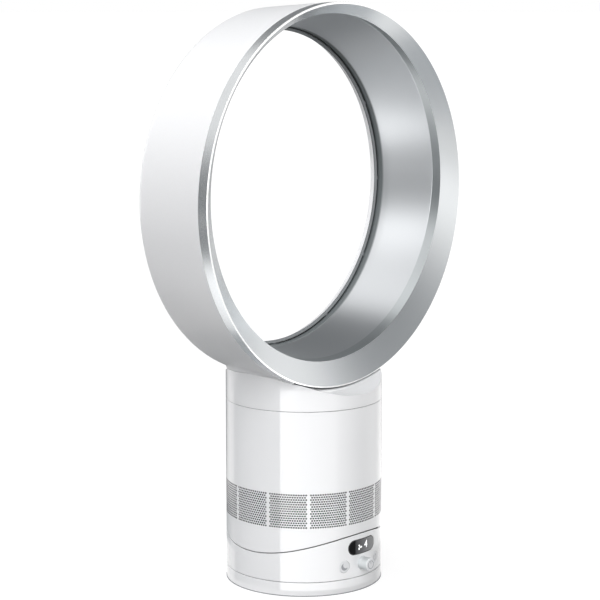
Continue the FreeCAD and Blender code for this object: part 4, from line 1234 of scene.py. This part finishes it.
def wall_spot(layer):
    """Gives a point of the studio's round wall and roof, from a level direction and degrees above level."""
    def spot(ahead, level):
        rise = math.radians(level)
        out = Vector((ahead.x * math.cos(rise), ahead.y * math.cos(rise), math.sin(rise)))
        return STUDIO_MIDDLE + (STUDIO_RADIUS + 0.01 * layer) * out
    return spot


def floor_spot(layer):
    """Gives a point of the floor, from a level direction and a distance."""
    def spot(ahead, distance):
        return ahead * distance + Vector((0, 0, 0.004 - 0.0005 * layer))
    return spot


def low_card(name, start, end, tone, strong, weak):
    """A card on the floor beside the drum with a low wall, so that the drum shows it with upright edges.

    start and end are where its edges show on the drum, in degrees round from the camera's side, and
    strong and weak are how solid it is at these edges.
    """
    drum_radius, reach, bottom, tall = 0.0765, 0.15, 0.0055, 0.185

    def point(across, up):
        turn = start + (end - start) * across
        foot, ray = toward(turn, 0.0) * drum_radius, toward(2 * turn, 0.0)
        along = foot.dot(ray)
        if up > 0.25:
            foot += ray * (math.sqrt(along ** 2 + reach ** 2 - foot.length_squared) - along)
        height = Vector((0, 0, tall if up > 0.75 else bottom))
        return foot + height, strong + (weak - strong) * across

    card(name, tone, 2, point)


# Cards on the studio's wall: bearing and half width in degrees from the camera's side, level and half
# height in degrees above level, tone. Cards on the floor: the same with distances in metres. Cards beside
# the drum: where they show on it from and to, tone, and how solid they are there.
WALL_CARDS = (
    ("back_card", 192, 39, 33, 74, 0.22),
    ("roof_front_card", 4, 84, 74, 26, 5.00),
    ("left_card", -82, 33, -4, 33, 0.22),
    ("left_back_card", -128, 29, 9, 33, 2.70),
    ("left_high_card", -41, 37, 35, 26, 3.40),
    ("front_left_card", -31, 22, 6, 25, 4.60),
    ("left_roof_card", -112, 46, 64, 22, 1.45),
    ("front_right_card", 31, 26, 0, 18, 1.60),
    ("right_high_card", 59, 68, 47, 20, 0.00),
    ("right_low_card", 75, 42, 30, 18, 0.42),
    ("right_back_card", 115, 40, 26, 41, 1.32))
FLOOR_CARDS = (
    ("back_floor_card", 187, 34, 0.93, 1.03, 0.22),
    ("right_floor_card", 61, 42, 0.41, 0.53, 0.57),
    ("near_floor_card", -61, 44, 0.32, 0.6, 2.10),
    ("right_back_floor_card", 130, 37, 0.9, 1.38, 1.50),
    ("left_near_floor_card", -135, 34, 0.2, 0.2, 0.50),
    ("left_floor_card", -87, 33, 1.15, 1.25, 0.26))
DRUM_CARDS = (
    ("drum_left", -62.4, -17.3, 0.45, 1.0, 0.88),
    ("drum_front", -17.3, 24.6, 3.3, 1.0, 1.0),
    ("drum_right", 24.6, 62.4, 2.9, 0.98, 0.15))
WALL_LEVELS = (-7.0, 88.0)
FLOOR_DISTANCES = (0.16, 2.2)


def seen(tree):
    """1 on rays that show a thing, straight, mirrored or through glass, and 0 on rays that light others."""
    path = add(tree, "LightPath")
    straight_or_mirrored = calc(tree, "MAXIMUM", path["Is Camera Ray"], path["Is Glossy Ray"])
    return calc(tree, "MAXIMUM", straight_or_mirrored, path["Is Transmission Ray"])


class FAN_OT_studio(FanOperator, bpy.types.Operator):
    """Set the camera, the soft lights, the white background and the floor"""

    bl_idname = "fan.studio"
    bl_label = "Studio"

    def execute(self, context):
        scene, setup = context.scene, context.scene.fan_studio
        scene.view_settings.view_transform = "Standard"

        camera = bpy.data.cameras.new("camera")
        camera.lens = setup.lens
        camera.sensor_width = 36.0
        camera.clip_start = 0.05
        camera.clip_end = 400.0
        eye = linked("camera", camera)
        bearing, heading, pitch = setup.camera_bearing, setup.camera_heading, setup.camera_pitch
        away = setup.camera_distance
        eye.location = (away * math.sin(bearing), -away * math.cos(bearing), setup.camera_height)
        aim(eye, Vector((-math.sin(heading) * math.cos(pitch), math.cos(heading) * math.cos(pitch),
                         -math.sin(pitch))), "-Z")
        scene.camera = eye

        scene.world = bpy.data.worlds.new("studio")
        scene.world.use_nodes = True
        tree = scene.world.node_tree
        tree.nodes.clear()
        room = add(tree, "Background", {"Color": (1, 1, 1, 1), "Strength": setup.ambient})
        white = add(tree, "Background", {"Color": (1, 1, 1, 1), "Strength": 1.0})
        mix = add(tree, "MixShader", {0: seen(tree), 1: room[0], 2: white[0]})
        add(tree, "OutputWorld", {"Surface": mix[0]})

        bm = bmesh.new()
        bmesh.ops.create_circle(bm, cap_ends=True, segments=96, radius=150.0)
        floor = loose_object("floor", bm)
        tree = new_finish("pale floor")
        shade(tree, {"Base Color": (*setup.floor_colour, 1.0), "Roughness": 0.8, "Specular IOR Level": 0.0,
                     "Emission Color": (1, 1, 1, 1),
                     "Emission Strength": calc(tree, "MULTIPLY", seen(tree), setup.floor_lift)})
        floor.data.materials.append(finishes["pale floor"])

        far_light("key_light", 3, 35, 40, setup.key_strength)
        far_light("top_light", -120, 68, 70, setup.top_strength)
        far_light("left_light", -60, 18, 50, setup.left_strength)
        far_light("right_light", 62, 20, 50, setup.right_strength)
        for layer, row in enumerate(WALL_CARDS):
            soft_card(*row, wall_spot(layer), *WALL_LEVELS)
        for layer, row in enumerate(FLOOR_CARDS):
            soft_card(*row, floor_spot(layer), *FLOOR_DISTANCES)
        for row in DRUM_CARDS:
            low_card(*row)
        return {"FINISHED"}


# The add-on


class FAN_PT_panel(bpy.types.Panel):
    """The fan's pieces in the sidebar"""

    bl_label = "Desk Fan"
    bl_idname = "FAN_PT_panel"
    bl_space_type = "VIEW_3D"
    bl_region_type = "UI"
    bl_category = "Desk Fan"

    def draw(self, context):
        column = self.layout.column()
        for operator in operators:
            column.operator(operator.bl_idname)


groups = {"fan_loop": LoopShape, "fan_drum": DrumShape, "fan_inlet": InletPattern,
          "fan_controls": ControlShape, "fan_finish": FanFinish, "fan_studio": StudioSetup}

operators = (FAN_OT_finishes, FAN_OT_outer_casing, FAN_OT_rear_lip, FAN_OT_inner_casing, FAN_OT_front_trim,
             FAN_OT_collar, FAN_OT_fan_body, FAN_OT_upper_base, FAN_OT_foot, FAN_OT_display, FAN_OT_buttons,
             FAN_OT_knob, FAN_OT_inner_parts, FAN_OT_studio)


def register():
    for cls in (*groups.values(), *operators, FAN_PT_panel):
        bpy.utils.register_class(cls)
    for name, cls in groups.items():
        setattr(bpy.types.Scene, name, bpy.props.PointerProperty(type=cls))


def unregister():
    for name in groups:
        delattr(bpy.types.Scene, name)
    for cls in (FAN_PT_panel, *reversed(operators), *reversed(groups.values())):
        bpy.utils.unregister_class(cls)


def main():
    """Registers the classes and builds every piece."""
    register()
    bpy.ops.fan.finishes()
    bpy.ops.fan.outer_casing()
    bpy.ops.fan.rear_lip()
    bpy.ops.fan.inner_casing()
    bpy.ops.fan.front_trim()
    bpy.ops.fan.collar()
    bpy.ops.fan.fan_body()
    bpy.ops.fan.upper_base()
    bpy.ops.fan.foot()
    bpy.ops.fan.display()
    bpy.ops.fan.buttons()
    bpy.ops.fan.knob()
    bpy.ops.fan.inner_parts()
    bpy.ops.fan.studio()


if __name__ == "__main__":
    main()
